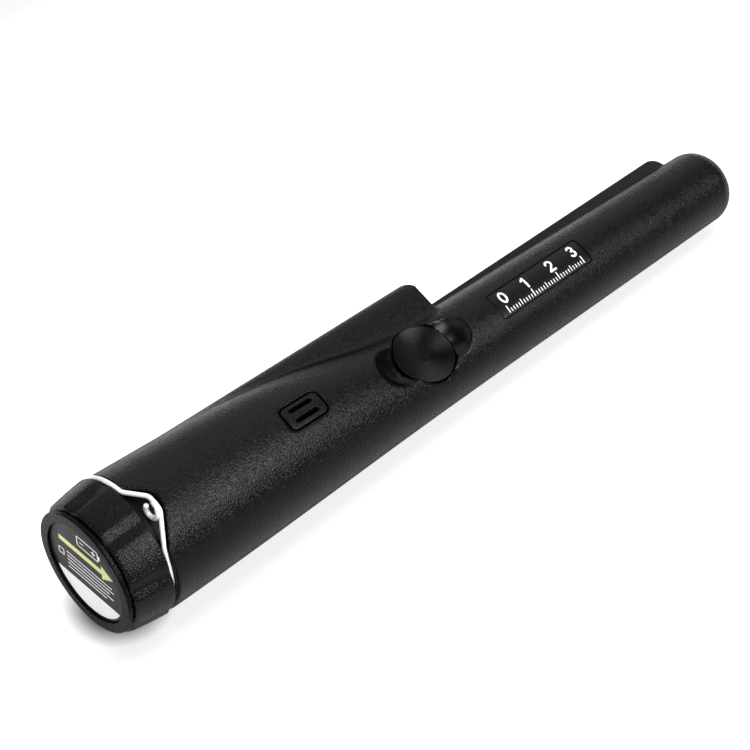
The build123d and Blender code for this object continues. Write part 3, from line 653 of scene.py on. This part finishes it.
SLEEVE = banded("battery_sleeve", [(0.0, (0.09, 0.10, 0.12, 1)), (0.16, (0.45, 0.46, 0.48, 1)),
                                   (0.20, (0.012, 0.045, 0.14, 1)), (0.78, (0.45, 0.46, 0.48, 1)),
                                   (0.82, (0.09, 0.10, 0.12, 1))], "X", -0.1105, -0.0645, 0.30)
LEADS = banded("lead_insulation", [(0.0, (0.010, 0.010, 0.011, 1)), (0.5, (0.42, 0.018, 0.014, 1))],
               "Y", -0.012, 0.006, 0.40)


def put(ob, *mats):
    ob.data.materials.clear()
    for m in mats:
        ob.data.materials.append(m)


# ------------------------------------------------------------------- housing
h = 0.66
verts, quads = skin(shell, (-1.0, -21, -21), (219.5, 21, 21), h)
outer = mesh_object("housing_shell", verts, quads)

hv, hq = skin(hollow, (-3.5, -19, -19), (217, 19, 19), 1.6)
core = mesh_object("hollow_core", hv, hq)

# recess of the label plate: a block with a curved underside
MID_S, HALF_S = (PLATE_S0 + PLATE_S1) / 2, (PLATE_S1 - PLATE_S0) / 2


def plate_outline(shrink, corner, n=7):
    a, b, r = HALF_S - shrink, PLATE_HALF - shrink, corner
    pts = []
    for cx, cy, a0 in ((a - r, b - r, 0), (-a + r, b - r, 90), (-a + r, -b + r, 180), (a - r, -b + r, 270)):
        pts += arc(cx, cy, r, a0, a0 + 90, n)
    out = []
    for p, q in zip(pts, pts[1:] + pts[:1]):
        d = math.dist(p, q)
        k = max(1, int(d / 0.9))
        out += [(p[0] + (q[0] - p[0]) * i / k, p[1] + (q[1] - p[1]) * i / k) for i in range(k)]
    return np.array(out) + (MID_S, PLATE_Y)


def barrel_z(s, y, inset):
    r = radius_at(s) - inset
    return np.sqrt(np.maximum(r * r - (y - shift_at(s)) ** 2, 0))


def recess_block():
    """Cutter: rounded block whose floor follows the barrel."""
    o = plate_outline(0.0, 0.7)
    n = len(o)
    rings = [np.column_stack([o, np.full(n, 14.0)]),
             np.column_stack([o, barrel_z(o[:, 0], o[:, 1], 0.45)])]
    centre_o = o - (MID_S, PLATE_Y)
    for k in range(1, 8):
        f = 1 - k / 8.0
        q = centre_o * (max(0.0, (HALF_S - (1 - f) * PLATE_HALF) / HALF_S), f) + (MID_S, PLATE_Y)
        rings.append(np.column_stack([q, barrel_z(q[:, 0], q[:, 1], 0.45)]))
    v = np.concatenate(rings)
    faces = grid_faces(len(rings), n)
    faces.append(tuple(range(n))[::-1])
    base = (len(rings) - 1) * n
    i, j = 0, n - 1
    while j - i > 1:
        if (j - i) % 2:
            faces.append((base + i, base + i + 1, base + j))
            i += 1
        else:
            faces.append((base + i, base + j - 1, base + j))
            j -= 1
    ob = mesh_object("recess_block", v, faces)
    fix_normals(ob)
    return ob


recess = recess_block()
v, f = lathe([(1.93, 103.9), (1.93, 109.5)], (LED_Y, 0.0), "s", 40)
lamp_hole = mesh_object("lamp_hole", v, f)
fix_normals(lamp_hole)
v, f = lathe([(4.3, 5.0), (4.3, 9.0)], (BTN_S, BTN_Y), "z", 48)
stem_hole = mesh_object("stem_hole", v, f)
fix_normals(stem_hole)

cutters = bpy.data.collections.new("cutters")
bpy.context.scene.collection.children.link(cutters)
for c in (core, recess, lamp_hole, stem_hole):
    bpy.context.scene.collection.objects.unlink(c)
    cutters.objects.link(c)
cut = outer.modifiers.new("cut", "BOOLEAN")
cut.operation, cut.solver, cut.operand_type, cut.collection = "DIFFERENCE", "EXACT", "COLLECTION", cutters
bpy.context.view_layer.update()
done = bpy.data.meshes.new_from_object(outer.evaluated_get(bpy.context.evaluated_depsgraph_get()))
outer.modifiers.clear()
outer.data = done
outer.data.name = "housing_shell"
for c in (core, recess, lamp_hole, stem_hole):
    bpy.data.objects.remove(c)
bpy.data.collections.remove(cutters)


def local_of(me):
    co = np.empty(len(me.vertices) * 3)
    me.vertices.foreach_get("co", co)
    return (co.reshape(-1, 3) * 1000.0 - SEAM) @ AXES.T


def dress_normals(ob, field, tol=0.05):
    """Shade by the true slope of the form wherever the mesh lies on it."""
    me = ob.data
    me.polygons.foreach_set("use_smooth", np.ones(len(me.polygons), bool))
    me.set_sharp_from_angle(angle=math.radians(38))
    p = local_of(me)
    g = gradient(field, p, 0.05) @ AXES
    near = np.abs(field(*p.T)) < tol
    loops = np.empty(len(me.loops), int)
    me.loops.foreach_get("vertex_index", loops)
    own = np.empty(len(me.loops) * 3)
    me.corner_normals.foreach_get("vector", own)
    own = own.reshape(-1, 3)
    starts = np.empty(len(me.polygons), int)
    totals = np.empty(len(me.polygons), int)
    me.polygons.foreach_get("loop_start", starts)
    me.polygons.foreach_get("loop_total", totals)
    fn = np.empty(len(me.polygons) * 3)
    me.polygons.foreach_get("normal", fn)
    face_of = np.repeat(np.arange(len(starts)), totals)
    fn = fn.reshape(-1, 3)[face_of]
    vn = g[loops]
    use = near[loops] & ((vn * fn).sum(1) > 0.62)
    out = np.where(use[:, None], vn, own)
    out /= np.maximum(np.linalg.norm(out, axis=1), 1e-9)[:, None]
    me.normals_split_custom_set(out.tolist())


dress_normals(outer, shell)

# the moulded grain fades out inside the thumb pocket and round the button
me = outer.data
loc = local_of(me)
mark = me.attributes.new("grain", "FLOAT", "POINT")
plain = np.minimum(pocket(*loc.T) - 0.12, well(*loc.T) - 0.12)
mark.data.foreach_set("value", np.clip(plain / 0.5, 0, 1))
# painted shade: the steep rear corner of the pocket reflects less, so it is darkened where shade falls
corner = np.clip((0.1 - pocket(*loc.T)) / 0.1, 0, 1) * np.clip((86.5 - loc[:, 0]) / 1.0, 0, 1)
corner *= np.clip((0.556 * loc[:, 0] + 0.831 * loc[:, 1] - PAINTED_SHADE_LINE) / 0.6, 0, 1)
mark = me.attributes.new("gloss_and_painted_shade", "FLOAT", "POINT")
mark.data.foreach_set("value", 1 - 0.85 * corner)
put(outer, SHELL)
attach(outer, "body")
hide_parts("housing")


# ------------------------------------------------------------- label plate
def fill_spine(base, n):
    """Faces across a flattened ring of n points."""
    out = []
    i, j = 0, n - 1
    while j - i > 1:
        if (j - i) % 2:
            out.append((base + i, base + i + 1, base + j))
            i += 1
        else:
            out.append((base + i, base + j - 1, base + j))
            j -= 1
    return out


def plate_rings(levels, inner_inset, steps=8):
    """Outlines stacked by (shrink, inset), then shrunk to a spine."""
    rings = []
    for shrink, inset in levels:
        o = plate_outline(shrink, max(0.7 - shrink, 0.2))
        rings.append(np.column_stack([o, barrel_z(o[:, 0], o[:, 1], inset)]))
    n = len(rings[0])
    last = plate_outline(levels[-1][0], max(0.7 - levels[-1][0], 0.2)) - (MID_S, PLATE_Y)
    for k in range(1, steps):
        f = 1 - k / steps
        q = last * ((HALF_S - (1 - f) * PLATE_HALF) / HALF_S, f) + (MID_S, PLATE_Y)
        rings.append(np.column_stack([q, barrel_z(q[:, 0], q[:, 1], inner_inset)]))
    return rings, n


rings, n = plate_rings([(0.22, 0.43), (0.22, 0.26), (0.26, 0.16), (0.36, 0.105), (0.5, 0.09)], 0.09)
v = np.concatenate(rings)
f = grid_faces(len(rings), n) + fill_spine((len(rings) - 1) * n, n)
f.append(tuple(range(n))[::-1])
plate = mesh_object("barrel_plate", v, f, 40)
fix_normals(plate)
put(plate, PLATE)
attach(plate, "body")
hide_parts("label_plate")


# ------------------------------------------------------------ printed marks
def strokes(u, v, runs, half):
    """Distance to pen strokes given as runs of points."""
    d = np.full(np.shape(u), 1e3)
    for run in runs:
        for (ax, ay), (bx, by) in zip(run, run[1:]):
            ex, ey = bx - ax, by - ay
            k = np.clip(((u - ax) * ex + (v - ay) * ey) / (ex * ex + ey * ey), 0, 1)
            d = np.minimum(d, np.hypot(u - ax - k * ex, v - ay - k * ey))
    return d - half


def printed(name, mark, lo, hi, h, place):
    """Thin film of ink in the outline of a mark, laid on a surface by place(u, v, lift)."""
    deep = 1.2 * h

    def film(u, v, w):
        return np.maximum(mark(u, v), np.abs(w) - deep)

    p, q = skin(film, (lo[0], lo[1], -2.6 * h), (hi[0], hi[1], 2.6 * h), h)
    ob = mesh_object(name, place(p[:, 0], p[:, 1], p[:, 2] / deep), q, 40)
    fix_normals(ob)
    return ob


DIGITS = {
    0: [[(0.0, 1.55)] + [(0.95 * math.sin(math.radians(a)), 1.55 * math.cos(math.radians(a))) for a in range(12, 361, 12)]],
    1: [[(-0.75, 0.95), (0.1, 1.55), (0.1, -1.55)]],
    2: [[(-0.85, 0.85)] + arc(0.0, 0.65, 0.9, 165, -35, 10) + [(-0.95, -1.55), (1.0, -1.55)]],
    3: [arc(-0.05, 0.78, 0.77, 150, -90, 10) + arc(-0.05, -0.72, 0.83, 90, -150, 11)],
}
SCALE_S, SCALE_Y = 122.05, PLATE_Y - 3.35


def scale_mark(u, v):
    """Centimetre scale: ticks every millimetre, plain numbers every ten."""
    d = np.full(np.shape(u), 1e3)
    for i in range(31):
        long, half = (2.2, 0.15) if i % 10 == 0 else (1.65, 0.11) if i % 5 == 0 else (1.1, 0.11)
        d = np.minimum(d, box2(u - SCALE_S - i, v - SCALE_Y - long / 2, half, long / 2, 0.04))
    for k, runs in DIGITS.items():
        d = np.minimum(d, strokes(u - SCALE_S - 10 * k - (1.1 if k == 0 else -1.1 if k == 3 else 0), v - SCALE_Y - 4.6, runs, 0.3))
    return d


def on_plate(u, v, w):
    r = radius_at(u) - 0.09 + 0.022 * w
    return np.column_stack([u, v, np.sqrt(r * r - (v - shift_at(u)) ** 2)])


ruler = printed("plate_scale", scale_mark, (120.8, PLATE_Y - 4.0), (153.4, PLATE_Y + 4.0), 0.11, on_plate)
put(ruler, INK_WHITE)
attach(ruler, "body")


# ----------------------------------------------------------- speaker grille
def grille_field(s, y, z):
    body = box2(s - GRILLE_S, y - GRILLE_Y, GRILLE_L / 2, GRILLE_W / 2, 1.55)
    d = meet(np.maximum(body, 12.1 - z), rod(s, y, z, 0.03), 0.25)
    foot = box2(s - GRILLE_S, y - GRILLE_Y, GRILLE_L / 2 + 1.2, GRILLE_W / 2 + 1.2, 2.6)
    d = np.minimum(d, np.maximum(foot, np.abs(z - 12.5) - 0.4))
    for ds, dy in ((-0.05, 1.6), (-0.05, -1.4)):
        a = np.maximum(np.abs(s - GRILLE_S - ds) - (3.8 - 0.625), 0)
        d = meet(d, 0.625 - np.hypot(a, y - GRILLE_Y - dy), 0.12)
    return d


gv, gq = skin(grille_field, (43.9, -6.5, 11.7), (59.5, 3.3, 18.0), 0.22)
grille = mesh_object("grille_insert", gv, gq)
dress_normals(grille, grille_field)
put(grille, INSERT)
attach(grille, "body")
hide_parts("speaker_grille")


# -------------------------------------------------------------- power button
profile = [(0.01, 2.5), (3.7, 2.5), (4.0, 2.75), (4.0, 4.95), (3.4, 4.95), (3.4, 5.65), (4.0, 5.65), (4.0, BTN_LOW),
           (8.2, BTN_LOW), (8.48, BTN_LOW + 0.06), (BTN_R, BTN_LOW + 0.22), (BTN_R, BTN_TOP - 0.36)]
profile += arc(BTN_R - 0.34, BTN_TOP - 0.34, 0.34, 0, 90, 7)[1:]


def dish(r):
    return BTN_TOP - 1.3 * (1 - (r / 8.26) ** 2)


# shallow dish, turned with fine rings, and a plain disc in the middle
TURNS, RING_DEEP, HUB = 0.36, 0.007, 2.25
for r in np.arange(8.1, HUB + 0.12, -TURNS / 6):
    fade = min(1.0, (8.1 - r) / 0.5, (r - HUB) / 0.3)
    profile.append((r, dish(r) + RING_DEEP * fade * math.cos(2 * math.pi * r / TURNS)))
profile += [(HUB + 0.05, dish(HUB) - 0.01), (HUB - 0.05, dish(HUB) - 0.025), (HUB - 0.15, dish(HUB) - 0.035)]
profile += [(r, dish(HUB) - 0.035) for r in (1.8, 1.2, 0.6, 0.01)]
v, f = lathe(profile, (BTN_S, BTN_Y), "z", 128)
button = mesh_object("button_cap", v, f, 50)
fix_normals(button)
put(button, BUTTON)
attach(button, "button")
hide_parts("power_button")


# ------------------------------------------------------------------ end cap
COLS = FLUTES * 90
THETA = np.linspace(0, 2 * math.pi, COLS, endpoint=False)


def finger_grooves():
    """Depth round the grip: broad lands with wide V-shaped grooves, corners eased."""
    pitch = 2 * math.pi / FLUTES
    x = np.degrees(np.abs((THETA - FLUTE_AT + pitch / 2) % pitch - pitch / 2))
    v = np.clip(1 - x / 8.5, 0, 1)
    k = np.arange(-9, 10)
    wgt = np.exp(-0.5 * (k / 1.9) ** 2)
    wgt /= wgt.sum()
    return sum(q * np.roll(v, i) for i, q in zip(k, wgt))


GROOVED = finger_grooves()


def cap_row(s, r, depth):
    rad = r - depth * GROOVED
    return np.column_stack([np.full(COLS, s), rad * np.sin(THETA), rad * np.cos(THETA)])


rows = [cap_row(-11.5, 0.01, 0), cap_row(-11.5, 14.7, 0), cap_row(-9.4, 14.7, 0), cap_row(-9.4, CAP_BORE, 0),
        cap_row(-2.2, CAP_BORE, 0), cap_row(CAP_FRONT - 0.15, CAP_BORE + 0.1, 0), cap_row(CAP_FRONT, CAP_BORE + 0.35, 0)]


def grip_r(s):
    x = CAP_FRONT - s
    return CAP_R0 - x * (0.1 + 0.0044 * x)


def grip_depth(s):
    t = np.clip((CAP_FRONT - s) / 6.0, 0, 1)
    return 0.6 + 0.42 * t * t * (3 - 2 * t)


for dr, ds in ((0.9, 0.0), (0.5, 0.0), (0.25, 0.02), (0.1, 0.08), (0.02, 0.2), (0.0, 0.38)):
    s = CAP_FRONT - ds
    rows.append(cap_row(s, grip_r(s) - dr, grip_depth(s)))
for s in np.linspace(-2.2, -11.3, 20):
    rows.append(cap_row(s, grip_r(s), grip_depth(s)))
# round rear shoulder of the grip, groove, then the thin end flange
for a in np.radians([10, 24, 38, 52, 66, 78]):
    s = GROOVE_S1 + 0.85 * (1 - math.sin(a))
    rows.append(cap_row(s, grip_r(s) - 0.85 * (1 - math.cos(a)), grip_depth(s) * (1 - 0.5 * math.sin(a) ** 4)))
for s, r in ((GROOVE_S1 - 0.02, GROOVE_R + 0.12), (GROOVE_S1 - 0.1, GROOVE_R + 0.02), (GROOVE_S1 - 0.22, GROOVE_R),
             (GROOVE_S0 + 0.2, GROOVE_R), (GROOVE_S0 + 0.06, GROOVE_R + 0.03), (GROOVE_S0, GROOVE_R + 0.12),
             (GROOVE_S0, 16.75), (GROOVE_S0 - 0.03, 16.93), (GROOVE_S0 - 0.12, 17.02), (GROOVE_S0 - 0.25, FLANGE_R)):
    rows.append(cap_row(s, r, 0.0))
for z, r in arc(CAP_END + 0.42, FLANGE_R - 0.46, 0.42, 88, 180, 8):
    rows.append(cap_row(z, r, 0.0))
rows += [cap_row(CAP_END, 16.3, 0), cap_row(CAP_END, 14.36, 0), cap_row(CAP_END + 0.03, 14.22, 0),
         cap_row(CAP_END + 0.12, 14.13, 0), cap_row(CAP_END + 0.3, 14.1, 0), cap_row(CAP_END + LABEL_DEEP, 14.1, 0),
         cap_row(CAP_END + LABEL_DEEP, 13.0, 0), cap_row(CAP_END + LABEL_DEEP, 0.01, 0)]
v = np.concatenate(rows)
f = grid_faces(len(rows), COLS)
# internal screw thread
turns = np.linspace(0, 2 * math.pi * 1.3, 120)
sect = [(0.25, -0.6), (-0.65, -0.3), (-0.65, 0.3), (0.25, 0.6)]
base = len(v)
thread = []
for t in turns:
    for dr, ds in sect:
        r = CAP_BORE + dr
        thread.append((-4.0 - 3.0 * t / (2 * math.pi) + ds, r * math.sin(-t), r * math.cos(-t)))
v = np.concatenate([v, np.array(thread)])
f += grid_faces(len(turns), 4, base=base)
f += [tuple(base + k for k in range(4)), tuple(base + (len(turns) - 1) * 4 + k for k in range(4))[::-1]]
cap = mesh_object("end_cap", v, f, 32)
fix_normals(cap)
# the end flange is duller than the grip
mark = cap.data.attributes.new("gloss_and_painted_shade", "FLOAT", "POINT")
mark.data.foreach_set("value", np.interp(local_of(cap.data)[:, 0], [GROOVE_S0 - 0.3, GROOVE_S0 + 0.05], [0.5, 1.0]))
put(cap, CAPPED)
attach(cap, "cap")
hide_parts("battery_cap")


# --------------------------------------------------------- print on the cap
# u runs along the printed lines of the round label, v across them
LABEL_U, LABEL_V = np.array([-0.935, 0.355]), np.array([0.355, 0.935])
LABEL_FACE = CAP_END + LABEL_DEEP - LABEL_T


def on_label(u, v, w):
    return np.column_stack([LABEL_FACE - 0.012 * w, u * LABEL_U[0] + v * LABEL_V[0], u * LABEL_U[1] + v * LABEL_V[1]])


def white_mark(u, v):
    """Blank writing strip, battery sign with its poles, and fine rules."""
    d = np.maximum(np.hypot(u, v) - 13.25, v + 6.0)
    cell = np.abs(box2(u - 1.6, v - 9.6, 3.9, 1.55, 0.35)) - 0.17
    nub = box2(u - 5.95, v - 9.6, 0.32, 0.72, 0.1)
    poles = strokes(u - 1.6, v - 9.6, [[(1.5, 0), (2.9, 0)], [(2.2, -0.7), (2.2, 0.7)], [(-2.9, 0), (-1.5, 0)]], 0.16)
    d = np.minimum(np.minimum(d, cell), np.minimum(nub, poles))
    for k, (a, b) in enumerate(((-7.4, 9.8), (-7.4, 10.4), (-7.4, 8.6), (-7.4, 10.0), (-7.4, 7.2))):
        d = np.minimum(d, box2(u - (a + b) / 2, v - 1.7 + 1.32 * k, (b - a) / 2, 0.17, 0.08))
    pad = np.abs(box2(u + 9.6, v - 0.3, 0.95, 0.95, 0.25)) - 0.15
    return np.minimum(d, pad)


def lime_mark(u, v):
    """Bold arrow across the label."""
    shaft = box2(u + 1.6, v - 5.2, 8.4, 0.85, 0.12)
    tip = np.maximum((u - 10.6) * 0.5 + np.abs(v - 5.2) * 0.866, 6.4 - u)
    return np.maximum(np.minimum(shaft, tip), np.hypot(u, v) - 13.2)


for name, mark, ink in (("label_print_white", white_mark, INK_WHITE), ("label_print_lime", lime_mark, INK_LIME)):
    ob = printed(name, mark, (-13.6, -13.6), (13.6, 13.6), 0.12, on_label)
    put(ob, ink)
    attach(ob, "cap")


# ------------------------------------------------------------- lanyard wire
RING_Y, RING_Z = 0.482, 0.575
RING_A0, RING_A1, RING_SINK = 19.3, -37.7, 1.0
KINK = [(2.8, 1.09, 20.40), (2.8, -1.46, 20.67), (2.8, -3.26, 20.37)]
EYE_Y, EYE_Z, EYE_R = -2.03, 18.75, 1.865


def ring_point(degrees):
    a = math.radians(degrees)
    r = RING_R - RING_SINK * float(np.interp(degrees % 360, [215, 250, 311, 326], [0, 1, 1, 0]))
    return np.array([RING_S, RING_Y + r * math.sin(a), RING_Z + r * math.cos(a)])


def resample(points, step):
    p = np.asarray(points)
    seg = np.linalg.norm(np.diff(p, axis=0), axis=1)
    d = np.concatenate([[0], np.cumsum(seg)])
    n = max(2, int(round(d[-1] / step)))
    t = np.linspace(0, d[-1], n + 1)
    return np.column_stack([np.interp(t, d, p[:, k]) for k in range(3)])


def relax(p, sigma, closed):
    """Rounds the corners of a run of dense points."""
    k = np.arange(-int(3 * sigma), int(3 * sigma) + 1)
    wgt = np.exp(-0.5 * (k / sigma) ** 2)
    wgt /= wgt.sum()
    n = len(p)
    out = np.zeros_like(p)
    for off, q in zip(k, wgt):
        i = np.arange(n) + off
        i = i % n if closed else np.clip(i, 0, n - 1)
        out += q * p[i]
    return out


loop = [ring_point(a) for a in np.arange(RING_A0, 360 + RING_A1 + 0.01, 1.0)]
loop += [np.array(k) for k in KINK[::-1]] + [ring_point(RING_A0)]
dense = resample(loop, 0.22)[:-1]
dense = relax(dense, 2.4, True)
v1, f1 = tube_mesh(dense, WIRE_R, 18, closed=True)
# open eye, turned out of the kink and ending in a rounded tip
turn = np.linspace(52, -286, 150)
eye_s = np.interp(-turn, [-52, 0, 90, 180, 270, 290], [2.84, 2.45, 1.80, 1.38, 1.26, 1.22])
coil = relax(np.column_stack([eye_s, EYE_Y + EYE_R * np.sin(np.radians(turn)),
                              EYE_Z + EYE_R * np.cos(np.radians(turn))]), 4.0, False)
ahead = coil[-1] - coil[-2]
ahead /= np.linalg.norm(ahead)
tip_a = np.radians([20, 40, 58, 74, 86])
coil = np.concatenate([coil, coil[-1] + WIRE_R * np.sin(tip_a)[:, None] * ahead])
girth = np.concatenate([np.full(150, WIRE_R), WIRE_R * np.cos(tip_a)]) * 1.15
v2, f2 = tube_mesh(coil, girth, 18, base=len(v1))
wire = mesh_object("lanyard_wire", np.concatenate([v1, v2]), f1 + f2)
fix_normals(wire)
put(wire, WIRE)
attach(wire, "body")
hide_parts("lanyard_ring")


# ---------------------------------------------------------------- studio
floor_mat, nt, b = material("floor_pale")
vec = coords(nt)
nt.links.new(ramp(nt, noise(nt, vec, 3.0, 3.0), [(0.3, grey(0.86)), (0.7, grey(0.88))]), b.inputs["Base Color"])
b.inputs["Roughness"].default_value = 0.9
b.inputs["Specular IOR Level"].default_value = 0.2
# the floor glows as painted light in bands across it: dark far out on the camera side, about 0.8 round the object,
# brightest in a strip just behind it
sep = nt.nodes.new("ShaderNodeSeparateXYZ")
nt.links.new(vec, sep.inputs["Vector"])
across = spread(nt, sep.outputs["Y"], 0.0, 1.0, -0.5, 0.5)
nt.links.new(ramp(nt, across, [(0.10, grey(0.0)), (0.26, grey(0.1)), (0.37, grey(0.8)), (0.52, grey(0.85)), (0.555, grey(2.0)), (0.62, grey(1.6)),
                              (0.72, grey(0.45))]),
             b.inputs["Emission Color"])
# painted contact shadow: the floor's glow is dimmed within about 14 mm of a spot under the end cap
painted_shadow_dip = nt.nodes.new("ShaderNodeVectorMath")
painted_shadow_dip.operation = "DISTANCE"
nt.links.new(vec, painted_shadow_dip.inputs[0])
painted_shadow_dip.inputs[1].default_value = (-0.106, 0.001, 0.0)
nt.links.new(spread(nt, painted_shadow_dip.outputs["Value"], 0.1, 1.0, 0.0085, 0.0145), b.inputs["Emission Strength"])
bm = bmesh.new()
bmesh.ops.create_grid(bm, x_segments=4, y_segments=4, size=2.5)
floor_me = bpy.data.meshes.new("floor")
bm.to_mesh(floor_me)
bm.free()
floor = bpy.data.objects.new("floor", floor_me)
bpy.context.scene.collection.objects.link(floor)
floor.location = (0, 0, -0.0001)
put(floor, floor_mat)


def softbox(name, az, el, dist, size, power, aim=(0, 0, 0.02)):
    d = bpy.data.lights.new(name, "AREA")
    d.shape = "RECTANGLE"
    d.size, d.size_y = size
    d.energy = power
    o = bpy.data.objects.new(name, d)
    bpy.context.scene.collection.objects.link(o)
    a, e = math.radians(az), math.radians(el)
    v = Vector((math.cos(e) * math.cos(a), math.cos(e) * math.sin(a), math.sin(e)))
    o.location = Vector(aim) + v * dist
    o.rotation_euler = v.to_track_quat("Z", "Y").to_euler()
    return o


key = softbox("key", -73, 40, 1.3, (1.2, 0.55), 26.0)
softbox("over", -70, 82, 1.3, (0.35, 0.35), 3.0)
softbox("back", 50, 5, 1.7, (3.0, 0.75), 4.5)
softbox("sky", 56, 43, 1.6, (1.9, 1.25), 11.5)
softbox("front", 4, 47, 1.6, (1.3, 0.5), 2.4)
side = softbox("side", -152, 30, 1.8, (1.8, 0.9), 8.0)
rear = softbox("rear", 138, 30, 1.8, (1.8, 0.9), 8.0)
# the floor is left to the other lights, so its shadows stay soft and single
spared = bpy.data.collections.new("floor_spared")
spared.objects.link(floor)
spared.collection_objects[0].light_linking.link_state = "EXCLUDE"
for lamp in (key, side, rear):
    lamp.light_linking.receiver_collection = spared

scene = bpy.context.scene
w = bpy.data.worlds.new("studio")
scene.world = w
w.use_nodes = True
bg = w.node_tree.nodes["Background"]
bg.inputs["Color"].default_value = (1, 1, 1, 1)
bg.inputs["Strength"].default_value = 0.06
scene.view_settings.view_transform = "Standard"

FINISH = {
    "threaded_collar": COLLAR, "cap_label": FILM, "cap_gasket": RUBBER, "cap_pad": FOAM, "button_clip": STEEL,
    "button_seal": RUBBER, "tact_switch": SWITCH, "switch_plunger": PLUNGER, "battery": SLEEVE,
    "battery_terminals": NICKEL, "battery_contacts": NICKEL, "contact_board": BOARD, "inner_chassis": CHASSIS,
    "chassis_screws": SCREW, "battery_leads": LEADS, "main_pcb": BOARD, "pcb_screws": SCREW, "ic_chips": EPOXY,
    "capacitors": CAN, "chip_resistors": CERAMIC, "buzzer": BUZZER, "vibration_motor": CAN, "motor_shaft": STEEL,
    "eccentric_weight": TUNGSTEN, "motor_clip": RUBBER, "led": LENS, "led_bezel": CHROME, "led_leads": TINNED,
    "ferrite_rod": FERRITE, "coil_former": CHASSIS, "receive_coil": COPPER, "transmit_coil": COPPER,
    "coil_leads": ENAMEL, "tip_cushion": FOAM,
}
for name, mat in FINISH.items():
    put(frame["nodes"][name], mat)
